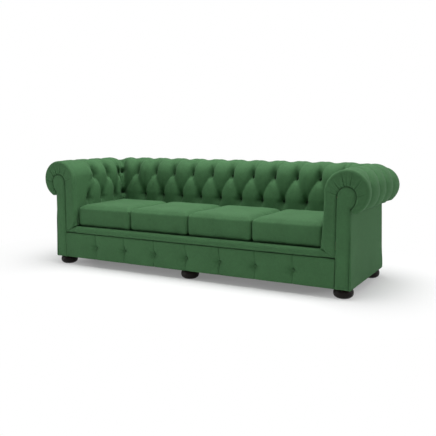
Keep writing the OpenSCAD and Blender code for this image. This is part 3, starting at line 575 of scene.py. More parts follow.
def back_points():
    """Rings of the back's padding from mitre to mitre, and their shares."""
    reach = BACK_END - 1.7 * CREASE_W
    step = BACK_PITCH / UP
    k = np.arange(math.ceil((-reach - BACK_FIRST) / step), math.floor((reach - BACK_FIRST) / step) + 1)
    mid = BACK_FIRST + k * step
    rest = np.linspace(mid[-1], BACK_END, 12)[1:]
    rest_left = np.linspace(-BACK_END, mid[0], 12)[:-1]
    ends = np.full(len(TURNS), BACK_END)
    s = np.concatenate([-ends, rest_left, mid, rest, ends])
    turn = np.concatenate([TURNS[::-1], np.zeros(len(rest_left) + len(mid) + len(rest)), TURNS])
    mitre = crease(BACK_END, ROLL_X, np.abs(s), turn, STRAIGHT_X, ROWS)
    full = ((s - BACK_FIRST) / BACK_PITCH)[:, None] + 0 * ROWS[None, :]
    corner = (BACK_END, ROLL_X, STRAIGHT_X, turn, 0.5)
    right = to_corner(full, 5, BACK_PITCH, BACK_FIRST, s, *corner)
    left = -to_corner(-full, 4, BACK_PITCH, -BACK_FIRST, -s, *corner)
    h = puff(np.where((s < 0)[:, None], left, right), ROWS[None, :])
    u, z, _, sh = section(h, mitre, BACK_RAKE, BACK_GAP, BACK_IN, np.full(len(s), ROLL_R))
    r = plan_r(u)
    t = turn[:, None]
    side = np.where(s < 0, -1.0, 1.0)[:, None]
    x_flat = along(np.abs(s)[:, None] + 0 * u, BACK_END, ROLL_X + u - r, STRAIGHT_X)
    x = side * np.where(t == 0, x_flat, ROLL_X + u - r + r * sind(t))
    y = np.where(t == 0, ROLL_Y + u, ROLL_Y + u - r + r * cosd(t))
    return np.stack([x, y, z], 2), sh


def rumple(points, share, seed):
    """Small folds and unevenness of the padding under the cover, none at the pleats or on the tail."""
    flat = points.reshape(-1, 3)
    normal = np.cross(*(np.gradient(points, axis=axis).reshape(-1, 3) for axis in (0, 1)))
    normal /= np.linalg.norm(normal, axis=1, keepdims=True) + 1e-9
    move = wobble(flat, COARSE, seed) * 0.7 + wobble(flat, MEDIUM, seed + 1) * 0.3
    keep = unit(share.reshape(-1)) ** 1.5
    soft = (flat + normal * (move * keep * TUFT_RUMPLE)[:, None]).reshape(points.shape)
    soft[:, -len(TAIL):] = points[:, -len(TAIL):]
    return soft


def end_fade(count):
    """0 at both ends of a row of stations and 1 from the fourth on."""
    k = np.arange(count)
    return unit(np.minimum(np.minimum(k, k[::-1]), 3) / 3)[:, None]


arm, arm_share = arm_points()
arm_soft = rumple(arm, arm_share * end_fade(len(arm)), 5)
cover("right_arm_tufting", arm_soft, False, "right_arm_pad", "right_arm_roll", share=arm_share)
cover("left_arm_tufting", arm_soft * MIRROR, True, "left_arm_pad", "left_arm_roll", share=arm_share)
back, back_share = back_points()
back_soft = rumple(back, back_share, 9)
back_soft[:3], back_soft[-3:] = back[:3], back[-3:]
cover("back_tufting", back_soft, True, "back_pad", "back_roll", share=back_share)


# Buttons ---------------------------------------------------------------------------

BUTTON_R, BUTTON_H, BUTTON_SIDES = 0.0095, 0.0055, 20
# Half section of a button: shares of its radius and of its height
BUTTON = [(0.05, -1.4), (0.55, -0.9), (0.9, -0.45), (1.0, 0.0), (0.97, 0.3), (0.84, 0.62), (0.62, 0.85),
          (0.34, 0.97)]


def button_mesh(places, name, replaced, material=button_cloth):
    """Covered domed buttons, each with its drawn-in edge; places are (point, outward axis). The default cloth
    is the tufting buttons' darkened one, painted shade of their pits.
    """
    verts, faces, uvs = [], [], []
    seg = BUTTON_SIDES
    for point, axis in places:
        axis = np.array(axis, float) / np.linalg.norm(axis)
        side = np.cross(axis, [0, 0, 1.0])
        side /= np.linalg.norm(side)
        up = np.cross(side, axis)
        base = len(verts)
        for r, h in BUTTON:
            for i in range(seg):
                t = 2 * math.pi * i / seg
                c, s = BUTTON_R * r * math.cos(t), BUTTON_R * r * math.sin(t)
                verts.append(tuple(np.array(point) + c * side + s * up + BUTTON_H * h * axis))
                uvs.append((c, s))
        verts.append(tuple(np.array(point) + BUTTON_H * axis))
        uvs.append((0, 0))
        top = base + len(BUTTON) * seg
        for first in range(base, top, seg):
            for i in range(seg):
                a, b = first + i, first + (i + 1) % seg
                faces.append([a, b, top] if first + seg == top else [a, b, b + seg, a + seg])
        faces.append([base + i for i in range(seg)][::-1])
    mesh = bpy.data.meshes.new(name)
    mesh.from_pydata(verts, [], faces)
    layer = mesh.uv_layers.new(name="UVMap")
    for loop in mesh.loops:
        layer.data[loop.index].uv = uvs[loop.vertex_index]
    mesh.materials.append(material)
    mesh.shade_smooth()
    put(show(name, mesh), "frame", "button_cloth", replaced)


def pit_place(b, rake, gap, depth):
    u, z, nu, nz = (float(v) for v in pit_line(np.array(float(b)), rake, gap))
    return u + depth * nu, z + depth * nz, nu, nz


# How deep the buttons of the lower and the upper row sit
DEEP, ARM_DEEP, CORNER_DEEP = (-0.024, -0.010), (-0.017, -0.010), (-0.012, -0.004)
BACK_LEFT, BACK_RIGHT, BACK_LAST = -0.85, 0.80, 0.831
arm_places = []
for k in range(3):
    for b in (0, 1):
        u, z, nu, nz = pit_place(b, ARM_RAKE, ARM_GAP, ARM_DEEP[b])
        y = ARM_TUFT + (k + b / 2) * ARM_PITCH + float(slip(np.array(float(b))))
        end = ROLL_Y + u - float(plan_r(np.array(u)))
        y = float(along(np.array(y), ROLL_Y - CORNER_R, end, STRAIGHT_Y))
        arm_places.append(((ROLL_X + u, y, z), (nu, 0, nz)))
button_mesh(arm_places, "right_arm_button_row", "right_arm_buttons")
button_mesh([(MIRROR * p, MIRROR * n) for p, n in arm_places], "left_arm_button_row", "left_arm_buttons")
back_places = []
for b in (0, 1):
    for k in range(-6, 7):
        x = BACK_FIRST + (k + b / 2) * BACK_PITCH
        if BACK_LEFT < x < BACK_RIGHT or (b == 1 and BACK_RIGHT < x < -BACK_LEFT):
            x = BACK_LAST if x > BACK_RIGHT else x
            u, z, nu, nz = pit_place(b, BACK_RAKE, BACK_GAP, DEEP[b])
            back_places.append(((x, ROLL_Y + u, z), (0, nu, nz)))
    for side in (-1, 1):
        u, z, nu, nz = pit_place(b, MEAN_RAKE, MEAN_GAP, CORNER_DEEP[b])
        reach = u - CREASE_R * (1 - math.cos(math.pi / 4))
        place = (side * (ROLL_X + reach), ROLL_Y + reach, z)
        back_places.append((place, (side * nu * 0.707, nu * 0.707, nz)))
button_mesh(back_places, "back_button_rows", "back_buttons")


# Arm fronts ------------------------------------------------------------------------

# Gathers round the scroll: turn, depth and half width in degrees
GATHERS = [(-34, 0.35, 3.0), (1, 1.0, 2.0), (22, 0.25, 3.0), (43, 1.0, 2.0), (58, 0.3, 2.6),
           (72, 1.0, 1.9), (89, 0.5, 2.0), (104, 1.0, 1.9), (120, 0.3, 2.6), (136, 1.0, 2.0),
           (154, 0.3, 2.8), (173, 0.8, 2.2)]
GATHER_DEPTH, NO_GATHER = 0.0046, 300.0
SHOULDER, BAND_FRONT, BAND_LIMIT = 0.017, -0.0054, -0.0062
BAND_BACK, BAND_NEAR, UNDER_BACK, BAND_CLEAR = 0.0345, 0.0085, 0.0030, 0.0004
TAIL_IN, TAIL_OUT = np.array([FACING_OUT + 0.0008, 0.5185]), np.array([FACING_OUT + 0.0008, 0.5035])
FOOT_TOP, FOOT_LOW = 0.335, 0.2495
# The groove where the band is drawn in beside the facing: distance from it and y
GROOVE = [(0.0, 0.0075), (0.0002, 0.0052), (0.0016, 0.0030), (0.0042, 0.0006), (0.0085, -0.0020),
          (0.0150, -0.0040)]


def band_edge(z):
    return mix(-ARM_IN, -SCROLL_R, unit((z - SEAT_Z) / (PANEL_Z - SEAT_Z)))


def foot_reach(z):
    """How far the band's rounded lower end spans at height z."""
    k = unit((FOOT_TOP - z) / (FOOT_TOP - FOOT_LOW))
    return (ARM_IN - FACING_IN) * math.sqrt(max(0.0, 1 - float(k) ** 2))


def gathered(turn):
    """Depth of the gathers at a turn round the scroll, with the ridges on both sides of each."""
    fold = 0.0
    for centre, size, width in GATHERS:
        d = turn - centre
        ridge, wide = 2.6 * width, 1.5 * width
        beside = math.exp(-((d - ridge) / wide) ** 2) + math.exp(-((d + ridge) / wide) ** 2)
        fold += size * math.exp(-(d / width) ** 2) - 0.32 * size * beside
    return fold


def band_stations():
    """Sections of the band up the arm, round the scroll and back to the side: inner and outer
    point, turn, reach of the padding, and whether it is thin cloth under the seat's edge."""
    stations = []
    low = FOOT_LOW + (FOOT_TOP - FOOT_LOW) * (1 - np.cos(np.linspace(0.10, math.pi / 2, 26)))
    for z in np.concatenate([low, np.linspace(FOOT_TOP, ROLL_Z - 0.004, 40)[1:]]):
        under = z < SEAT_Z + 0.0008
        inner = np.array([-FACING_IN - BAND_CLEAR, min(z, ROLL_Z - HEAD_DROP)])
        wide = inner[0] - foot_reach(z) if under else float(band_edge(z))
        reach = foot_reach(z) if z < FOOT_TOP else 1.0
        stations.append((inner, np.array([wide, z]), NO_GATHER, reach, under))
    for t in np.linspace(180, BAND_END, 230):
        head = HEAD_LOW if t < 0 else HEAD_R
        inner = (HEAD_U + (HEAD_R + BAND_CLEAR) * cosd(t), ROLL_Z - HEAD_DROP + (head + BAND_CLEAR) * sind(t))
        outer = (SCROLL_R * cosd(t), ROLL_Z + SCROLL_R * sind(t))
        stations.append((np.array(inner), np.array(outer), t, 1.0, False))
    last_in, last_out = stations[-1][:2]
    pivot = mix(TAIL_IN, last_in, 0.5)
    spokes = last_out - pivot, TAIL_OUT - pivot
    (a0, r0), (a1, r1) = ((math.atan2(*spoke[::-1]), np.linalg.norm(spoke)) for spoke in spokes)
    for t in np.linspace(0, 1, 14)[1:]:
        a, r = mix(a0, a1, t), mix(r0, r1, float(ease(t)) ** 0.8)
        outer = pivot + r * np.array([math.cos(a), math.sin(a)])
        stations.append((mix(last_in, TAIL_IN, t), outer, BAND_END - 20 * t, 1.0, False))
    return stations


def band_front(span):
    """Half section of a band that spans so much: distance from the facing and y."""
    shoulder = min(SHOULDER, 0.46 * span)
    front = [(d * min(1.0, span / 0.03), y) for d, y in GROOVE]
    start = front[-1][0]
    limit = max(max(span - shoulder, 0.0), start + 0.0002)
    for f in np.linspace(0.02, 1.0, 9):
        front.append((mix(start, limit, f), -0.0038 - 0.0016 * f ** 2))
    for a in np.linspace(0, 90, 10)[1:]:
        t = math.radians(a)
        front.append((limit + shoulder * math.sin(t), BAND_FRONT + shoulder * (1 - math.cos(t))))
    return front


def band_row(inner, outer, turn, reach, under):
    """Closed section of the band at one station, as points x, y, z."""
    w = float(np.linalg.norm(outer - inner))
    line = (outer - inner) / max(w, 1e-6)
    span = w if reach >= 1.0 else min(w, reach)
    fold = gathered(turn)
    row = []
    for d, y in band_front(span):
        keep = unit(1 - d / max(span, 1e-6) / 0.93) ** 0.7 if d > 0.0005 else 0.4
        p = inner + line * min(d, w)
        row.append((p[0], y + GATHER_DEPTH * fold * keep, p[1]))
    edge = inner + line * w
    if under:
        row = [(x, min(y, 0.0016), z) for x, y, z in row]
        ends = (0.0020, UNDER_BACK)
    elif reach < 1.0:
        # plain cloth that runs on past the rounded end of the padding
        row = [(x, min(y, 0.0046), z) for x, y, z in row]
        ends = (0.0052, BAND_BACK)
    else:
        ends = (max(row[-1][1], 0.030), BAND_BACK)
    back, near, step = (UNDER_BACK, UNDER_BACK, -0.0002) if under else (BAND_BACK, BAND_NEAR, 0.0002)
    tip = inner + line * max(w - 0.014, 0.5 * w)
    base = inner + line * min(0.004, 0.3 * w)
    closing = [(edge, ends[0]), (edge, ends[1]), (tip, back), (tip, near + step), (base, near)]
    return row + [(p[0], y, p[1]) for p, y in closing]


def band_points():
    pts = np.array([band_row(*station) for station in band_stations()]) + [ROLL_X, FACE_Y, 0]
    soft = wobble(pts.reshape(-1, 3), 40, 21).reshape(pts.shape[:2]) * 0.0005
    soft[:, -7:] = 0
    pts[..., 1] = np.maximum(pts[..., 1] + soft, FACE_Y + BAND_LIMIT)
    return pts


band = band_points()
cover("right_arm_gathered_band", band, True, "right_arm_band")
cover("left_arm_gathered_band", band * MIRROR, False, "left_arm_band")


def facing_outline(inset):
    """Outline of a facing drawn in by inset, as u and z."""
    r, low = HEAD_R - inset, HEAD_LOW - inset
    left, right = inset - FACING_IN, FACING_OUT - inset
    bottom, top = BASE_Z + inset, ROLL_Z - HEAD_DROP
    start = -math.degrees(math.acos((right - HEAD_U) / r))
    neck = top + low * math.sin(math.radians(start))
    pts = [(right, z) for z in np.linspace(bottom, neck - 0.004, 60)]
    for t in np.linspace(start, 180, 70):
        a = math.radians(t)
        pts.append((HEAD_U + r * math.cos(a), top + (r if t > 0 else low) * math.sin(a)))
    pts += [(left, z) for z in np.linspace(top - 0.02, bottom, 66)]
    return pts + [(u, bottom) for u in np.linspace(left, right, 14)[1:-1]]


# Rings of a facing, from its edge to its flat middle: inset and y
FACING = [(0.0, 0.0078), (0.0001, 0.0052), (0.0012, 0.0030), (0.0032, 0.0008), (0.0062, -0.0014),
          (0.0105, -0.0032), (0.0155, -0.0043), (0.0210, -0.0048)]
FACING_LIMIT = -0.0058


def facing_points():
    pts = np.array([[(ROLL_X + u, FACE_Y + y, z) for u, z in facing_outline(inset)] for inset, y in FACING])
    pts[2:, :, 1] += (wobble(pts.reshape(-1, 3), 30, 33).reshape(pts.shape[:2]) * 0.0004)[2:]
    pts[..., 1] = np.maximum(pts[..., 1], FACE_Y + FACING_LIMIT)
    return pts


facing = facing_points()
cover("right_arm_facing", facing, False, "right_facing", fill=0.9, flat_ends=False)
cover("left_arm_facing", facing * MIRROR, True, "left_facing", fill=0.9, flat_ends=False)


# Outside panels --------------------------------------------------------------------

PANEL_CLEAR, RETURN_R, THINNEST = 0.0006, 0.0075, 0.0004
HANG, HEEL, DRAWN_UNDER, DRAWN_R = 0.0028, 0.0045, 0.0045, 0.010


def panel_plan(z, out):
    """Plan line of the right half at height z, from the return on the arm front, round its
    corner and along the side to the middle of the back. Returns points and normals."""
    u = side_u(z) + PANEL_T
    back_set = PANEL_T * (1 - out)
    width = u - FACING_OUT - PANEL_CLEAR
    front_y = FACE_Y + mix(0.0088, 0.0002, float(ease(width / 0.005))) + back_set
    r = float(np.clip(width, THINNEST, RETURN_R))
    first = u - max(width, THINNEST)
    c = PANEL_CORNER - PANEL_TOP
    plan = []
    for k in np.linspace(0, 1, 6)[:-1]:
        plan.append((ROLL_X + mix(first, u - r, k), front_y, 0.0, -1.0))

    def arc(x, y, radius, turns):
        for t in turns:
            nx, ny = float(cosd(t)), float(sind(t))
            plan.append((x + radius * nx, y + radius * ny, nx, ny))

    arc(ROLL_X + u - r, front_y - back_set + r, max(r - back_set, 0.0001), np.linspace(-90, 0, 9))
    u = u - back_set
    for y in np.linspace(FACE_Y + 0.02, ROLL_Y - c, 60):
        plan.append((ROLL_X + u, float(y), 1.0, 0.0))
    arc(ROLL_X - c, ROLL_Y - c, u + c, np.linspace(0, 90, 16)[1:-1])
    for x in np.linspace(ROLL_X - c, 0, 80):
        plan.append((float(x), ROLL_Y + u, 0.0, 1.0))
    return np.array([(x, y, z, nx, ny, 0.0) for x, y, nx, ny in plan])


def outside_points():
    """Outer and inner skin of the right half, bottom to top and down again."""
    low, high = BASE_Z + np.array([0, 0.0012, 0.004, 0.009]), PANEL_Z - np.array([0.005, 0.0006])
    heights = np.concatenate([low, np.linspace(BASE_Z + 0.016, PANEL_Z - 0.012, 44), high])
    plans = np.array([panel_plan(z, 1.0) for z in heights])
    outer, nrm = plans[..., :3], plans[..., 3:]
    inner = np.array([panel_plan(z, 0.12)[:, :3] for z in heights])
    at = np.moveaxis(outer, 2, 0)
    puffed = wobble_at(*at, 9, 41) * 0.0011 + wobble_at(*at, 28, 42) * 0.0004
    # the cover hangs a little slack along the side and is drawn round the bottom edge
    run = unit((outer[..., 1] - FACE_Y) / (ROLL_Y - FACE_Y))
    tall = unit((outer[..., 2] - BASE_Z) / (PANEL_Z - BASE_Z))
    slack = -HANG * np.sin(np.pi * run) ** 2 * np.sin(np.pi * tall)
    slack = slack + HEEL * bell(run - 0.97, 0.10) * bell(tall - 0.08, 0.16)
    k = np.arange(len(heights))
    rim = np.minimum(1, np.minimum(k, k[::-1]) / 5)[:, None]
    ends = unit((np.arange(outer.shape[1]) - 14) / 6)[None, :]
    under = -DRAWN_UNDER * unit(1 - (outer[..., 2] - BASE_Z) / DRAWN_R) ** 2.2
    push = (puffed - 0.0006 + slack) * rim * ends + under
    return np.concatenate([outer + nrm * push[..., None], inner[::-1]], 0)


def outside_object(name, pts, flip, *replaced):
    obj = grid_object(name, pts, cloth, wrap_u=True, flip=flip)
    rows, cols = pts.shape[:2]
    bm = bmesh.new()
    bm.from_mesh(obj.data)
    bm.verts.ensure_lookup_table()
    for col in (0, cols - 1):
        for r in range(rows // 2 - 1):
            corners = (r, r + 1, rows - 2 - r, rows - 1 - r)
            bm.faces.new([bm.verts[k * cols + col] for k in corners])
    bmesh.ops.recalc_face_normals(bm, faces=bm.faces)
    bm.to_mesh(obj.data)
    bm.free()
    put(obj, "frame", "upholstery", *replaced, fill=0.9)


outside = outside_points()
outside_object("right_outside_cover", outside, True, "right_outside_arm", "outside_back")
outside_object("left_outside_cover", outside * MIRROR, False, "left_outside_arm")


# Lip, border and platform ----------------------------------------------------------

FRONT_EDGE = ROLL_X - FACING_IN - 0.0003
LIP_ROUND, LIP_SQUARE, LIP_SQUARE_END, LIP_FINE, LIP_REAR = 0.94, 0.15, 0.0009, 0.11, 0.058


def lip_profile(under):
    """Half section of the lip from its underside, over its front, to the valley behind it."""
    r = LIP_H / 2
    out = []
    for t in np.linspace(270, 90, 26):
        c, s = math.cos(math.radians(t)), math.sin(math.radians(t))
        k = under if s < 0 else LIP_ROUND
        out.append((0.86 * r + 0.86 * r * np.sign(c) * abs(c) ** k, (r - 0.0007) * np.sign(s) * abs(s) ** k))
    return out + [(0.0245, r * 0.84), (0.0290, r * 0.50), (0.0330, r * 0.30), (0.0370, r * 0.26)]


def lip_points():
    tip = FRONT_EDGE - LIP_SQUARE_END
    fine = FRONT_EDGE - LIP_FINE
    xs = np.concatenate([np.linspace(-FRONT_EDGE, -tip, 2), np.linspace(-tip + 0.0001, -fine, 40)[:-1],
                         np.linspace(-fine, fine, 240),
                         np.linspace(fine, tip - 0.0001, 40)[1:], np.linspace(tip, FRONT_EDGE, 2)])
    r = LIP_H / 2
    cz = LIP_Z + r
    # the last bit at each end is square underneath, to close the corner below the roll
    profile, closed = lip_profile(LIP_ROUND), lip_profile(LIP_SQUARE)
    pts = np.zeros((len(xs), len(profile) + 2, 3))
    w, w2 = wobble_at(xs, 0 * xs, 0 * xs, 22, 51), wobble_at(xs, 0 * xs, 0 * xs, 55, 52)
    for i, x in enumerate(xs):
        end = float(ease((0.105 - (FRONT_EDGE - abs(x))) / 0.03))
        set_back = -0.0022 + 0.0008 * w[i] + 0.0003 * w2[i] + 0.0062 * end
        for j, (y, z) in enumerate(closed if abs(x) > tip - 0.00005 else profile):
            pts[i, j] = (x, FACE_Y + y + (set_back if y < 0.024 else 0), cz + z * (1 + 0.012 * w2[i] - 0.012))
        pts[i, -2] = (x, FACE_Y + LIP_REAR, cz + r * 0.26)
        pts[i, -1] = (x, FACE_Y + LIP_REAR, LIP_Z + 0.0007)
    return pts


cover("front_lip_roll", lip_points(), True, "front_lip")

# The border's pits, the wide hollows round them, its sewn lines and the falls beside those:
# depths, then reaches
BORDER_DEEP, HOLLOW, SEWN, FALL = 0.0160, 0.0100, 0.0034, 0.0028
BORDER_PIT_R, HOLLOW_W, HOLLOW_H, SEWN_W, FALL_W = 0.023, 0.055, 0.056, 0.0026, 0.018
EDGE_ABOVE, EDGE_BELOW, EDGE_R, BOW = 0.0045, 0.0075, 0.014, 0.0020
BORDER_LIMIT, BORDER_FOLD = -0.0015, 0.0009
BORDER_REAR = FACE_Y + 0.033
BORDER_X = [(k - (BORDER_COUNT - 1) / 2) * BORDER_PITCH for k in range(BORDER_COUNT)]
NEAR_BUTTON = np.array([-12, -8, -5, -3, -1.5, -0.7, 0, 0.7, 1.5, 3, 5, 8, 12]) / 1000


def border_points():
    """The border with its dimples, sewn lines and the small folds round each button."""
    grid = np.concatenate([np.linspace(-FRONT_EDGE, FRONT_EDGE, 300)] + [b + NEAR_BUTTON for b in BORDER_X])
    grid = np.unique(np.round(grid, 5))
    low, high = BASE_Z + np.array([0, 0.001, 0.003, 0.007]), LIP_Z - np.array([0.0055, 0.0025, 0.0008])
    zs = np.concatenate([low, np.linspace(BASE_Z + 0.012, LIP_Z - 0.010, 44), high])
    x, z = np.meshgrid(grid, zs, indexing="ij")
    near = np.min([np.abs(x - b) for b in BORDER_X], axis=0)
    dz = z - BORDER_BUTTON_Z
    r = np.sqrt(near ** 2 + dz ** 2)
    wide = np.sqrt((near / HOLLOW_W) ** 2 + (dz / HOLLOW_H) ** 2)
    y = BORDER_DEEP * np.exp(-(r / BORDER_PIT_R) ** 1.6) + HOLLOW * np.exp(-wide ** 1.7)
    # the sewn line up and down through each button, and the cloth that falls towards it
    y += SEWN * np.exp(-(near / SEWN_W) ** 1.2) + FALL * np.exp(-(near / FALL_W) ** 1.3)
    edge = np.minimum(z - BASE_Z, LIP_Z - z)
    y += np.where(z > BORDER_BUTTON_Z, EDGE_ABOVE, EDGE_BELOW) * unit(1 - edge / EDGE_R) ** 2.2
    y += BOW * (1 - np.sin(np.pi * unit((z - BASE_Z) / (LIP_Z - BASE_Z))))
    y += -0.0012 + 0.0007 * wobble_at(x, y, z, 16, 61)
    for i, b in enumerate(BORDER_X):
        ring = bell(np.sqrt((x - b) ** 2 + dz ** 2) - 0.026, 0.020)
        y += BORDER_FOLD * np.cos(7 * np.arctan2(dz, x - b) + i) * ring
    front = np.stack([x, FACE_Y + np.maximum(y, BORDER_LIMIT), z], 2)
    rear = [np.stack([grid, np.full_like(grid, BORDER_REAR), np.full_like(grid, at)], 1)[:, None]
            for at in (LIP_Z - 0.0004, BASE_Z)]
    return np.concatenate([front] + rear, 1)


cover("buttoned_front_border", border_points(), False, "front_border")
# The border's buttons take the darker cloth, painted shade of their dimples
button_mesh([((x, FACE_Y + BORDER_PIT + 0.006, BORDER_BUTTON_Z), (0, -1, 0)) for x in BORDER_X],
            "border_button_row", "border_buttons", border_button_painted_shade)


def slab(name, material, top, bottom):
    """Closed thin piece between two grids of points."""
    pts = np.concatenate([top, bottom[:, ::-1]], 1)
    return grid_object(name, pts, material, wrap_v=True, caps=(True, True), flip=True)


def over_box(name, count):
    """A CAD node's box and a grid of x and y over it."""
    low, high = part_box(name)
    sides = (np.linspace(low[axis], high[axis], count[axis]) for axis in (0, 1))
    return low, high, *np.meshgrid(*sides, indexing="ij")


def seat_platform():
    low, high, x, y = over_box("seat_deck", (60, 24))
    rim = np.minimum(np.minimum(x - low[0], high[0] - x), np.minimum(y - low[1], high[1] - y))
    drop = 0.006 * unit(1 - rim / 0.02) ** 2
    z = high[2] - drop + wobble_at(x, y, 0 * x, 14, 71) * 0.0012 - 0.0012
    top, bottom = np.stack([x, y, z], 2), np.stack([x, y, np.full_like(x, low[2])], 2)
    deck = slab("sewn_seat_platform", lining, top, bottom)
    put(deck, "frame", "platform_cloth", "seat_deck", fill=0.8)


def dust_sheet():
    """Thin black cloth tacked under the rails, with a slight sag between them."""
    low, high, x, y = over_box("dust_cover", (121, 47))
    u, v = (x - low.x) / (high.x - low.x), (y - low.y) / (high.y - low.y)
    sag = 0.004 * np.sin(np.pi * u) ** 0.5 * np.sin(np.pi * v) ** 0.7
    ripple = 0.0012 * np.sin(np.pi * u) * np.sin(np.pi * v) * np.sin(9 * np.pi * u + 3 * v)
    under = low.z + 0.0002 - sag + ripple
    sheet = slab("dust_cloth", black_cloth, np.stack([x, y, under + 0.0012], 2), np.stack([x, y, under], 2))
    put(sheet, "frame", "dust_cloth", "dust_cover")


seat_platform()
dust_sheet()


# Seat cushions ---------------------------------------------------------------------

CORNERS = ((1, 1, 0), (-1, 1, 90), (-1, -1, 180), (1, -1, 270))
FRONT_R, REAR_R, LEAST_R = 0.020, 0.040, 0.006
SWELL_FRAMES, SIDE_GIVE, CUSHION_CLEAR = 20, 0.15, 0.0004
TWINS = {3: 2, 4: 1}
CLOTH = {"quality": 5, "mass": 0.3, "tension_stiffness": 15, "compression_stiffness": 15,
         "shear_stiffness": 5, "bending_stiffness": 0.5, "use_pressure": True,
         "uniform_pressure_force": 4.0}


def rounded_plan(hx, hy, off):
    """Plan outline of a cushion, drawn in by off, with tight front and softer rear corners."""
    a, b = hx + off, hy + off

    def at(sx, sy, t):
        r = max((REAR_R if sy > 0 else FRONT_R) + off * 0.6, LEAST_R)
        return sx * (a - r) + r * float(cosd(t)), sy * (b - r) + r * float(sind(t))

    out = []
    for n, (sx, sy, start) in enumerate(CORNERS):
        out += [at(sx, sy, t) for t in np.linspace(start, start + 90, 13)]
        first, end = out[-1], at(*CORNERS[(n + 1) % 4][:2], start + 90)
        for k in np.linspace(0, 1, 40)[1:-1]:
            out.append((mix(first[0], end[0], k), mix(first[1], end[1], k)))
    return out


def cushion_rings(hx, hy, t, crown):
    """Rings of a cushion about the middle of its bottom, out and up its boxing and in over its top."""
    pts = []

    def ring(off, z):
        return np.array([(x, y, z) for x, y in rounded_plan(hx, hy, off)])

    for k in (0.3, 0.6, 0.85):
        pts.append(ring(-0.03, 0) * np.array([k, k, 1]))
    for turn in np.linspace(0, 90, 8):
        off = -LOW_EDGE * (1 - float(sind(turn))) - SEAM_IN
        pts.append(ring(off, LOW_EDGE * 0.9 * (1 - float(cosd(turn)))))
    seam = t - SEAM_DROP
    steps = np.linspace(0, 1, 14)[1:]
    for k in steps:
        pts.append(ring(-SEAM_IN + SEAM_IN * math.sin(math.pi * k), mix(LOW_EDGE * 0.9, seam, k)))
    for k in steps:
        pts.append(ring(-SEAM_IN - SOFT_EDGE * k, seam + SEAM_DROP * (1 - (1 - k) ** 2.2)))
    rim = ring(-SEAM_IN - SOFT_EDGE, t)
    for k in np.linspace(0, 1, 24)[1:-1]:
        inward = 1 - 0.95 * k
        row = rim * np.array([inward, inward, 1])
        row[:, 2] = t + crown * (1 - inward ** 2.1)
        pts.append(row)
    return np.array(pts)


def coords(mesh):
    return read(mesh.vertices, "co", 3).astype(float)


def smoothed(values, ends, times):
    """values, one row a vertex, averaged with the neighbours that edges' ends give."""
    count = np.bincount(ends.ravel(), minlength=len(values))[:, None]
    for _ in range(times):
        near = np.zeros_like(values)
        np.add.at(near, ends[:, 0], values[ends[:, 1]])
        np.add.at(near, ends[:, 1], values[ends[:, 0]])
        values = (values + near / count) / 2
    return values


def swell(start, hx, hy):
    """Blows a cover up with cloth pressure. No point moves more than SWELL_CAP or leaves its box."""
    scene = bpy.context.scene
    bpy.context.view_layer.objects.active = start
    start.data.remesh_voxel_size = SWELL_VOXEL
    bpy.ops.object.voxel_remesh()
    mod = start.modifiers.new("swell", "CLOTH")
    for key, value in CLOTH.items():
        setattr(mod.settings, key, value)
    mod.settings.effector_weights.gravity = 0
    mod.collision_settings.use_collision = False
    scene.frame_start, scene.frame_end = 1, SWELL_FRAMES
    before = coords(start.data)
    for step in range(1, SWELL_FRAMES + 1):
        scene.frame_set(step)
    shown = start.evaluated_get(bpy.context.evaluated_depsgraph_get())
    move = coords(shown.to_mesh()) - before
    shown.to_mesh_clear()
    faces = [tuple(f.vertices) for f in start.data.polygons]
    ends = read(start.data.edges, "vertices", 2, np.int32)
    bpy.data.objects.remove(start)
    scene.frame_set(1)
    # the foam block holds the sides out, so they give way far less than they swell
    for axis in (0, 1):
        inward = move[:, axis] * before[:, axis] < 0
        move[inward, axis] *= SIDE_GIVE
    size = np.maximum(np.linalg.norm(move, axis=1, keepdims=True), 1e-9)
    move = smoothed(move / size * SWELL_CAP * np.tanh(size / SWELL_CAP), ends, 16)
    verts = smoothed(before, ends, 3) + move
    for axis, (low, high) in enumerate(((-hx, hx), (-hy, hy), (0, SWELL_TOP))):
        verts[:, axis] = np.clip(verts[:, axis], low, high)
    return verts, faces


def weave_uv(mesh):
    """UVs in metres, laid on along each face's own main direction."""
    counts = read(mesh.polygons, "loop_total", kind=np.int32)
    axis = np.repeat(np.abs(read(mesh.polygons, "normal", 3)).argmax(1), counts)
    at = coords(mesh)[read(mesh.loops, "vertex_index", kind=np.int32)]
    uv = np.stack([np.where(axis == 0, at[:, 1], at[:, 0]), np.where(axis == 2, at[:, 1], at[:, 2])], 1)
    layer = mesh.uv_layers.new(name="UVMap")
    layer.data.foreach_set("uv", uv.astype(np.float32).ravel())


def uneven_top(verts, t, i):
    """Small hollows and rises over the top of a cushion."""
    uneven = wobble(verts, 11, 80 + i) * 0.0013 + wobble(verts, 36, 90 + i) * 0.0003
    verts[:, 2] += uneven * unit((verts[:, 2] - t + 0.01) / 0.02)
    return verts


def swollen_cover(name, verts, faces):
    mesh = bpy.data.meshes.new(name)
    mesh.from_pydata(verts.tolist(), [], faces)
    mesh.update()
    obj = show(name, mesh)
    bpy.context.view_layer.objects.active = obj
    obj.modifiers.new("smooth", "SUBSURF").levels = 1
    bpy.ops.object.modifier_apply(modifier="smooth")
    weave_uv(obj.data)
    obj.data.materials.append(cloth)
    obj.data.shade_smooth()
    return obj


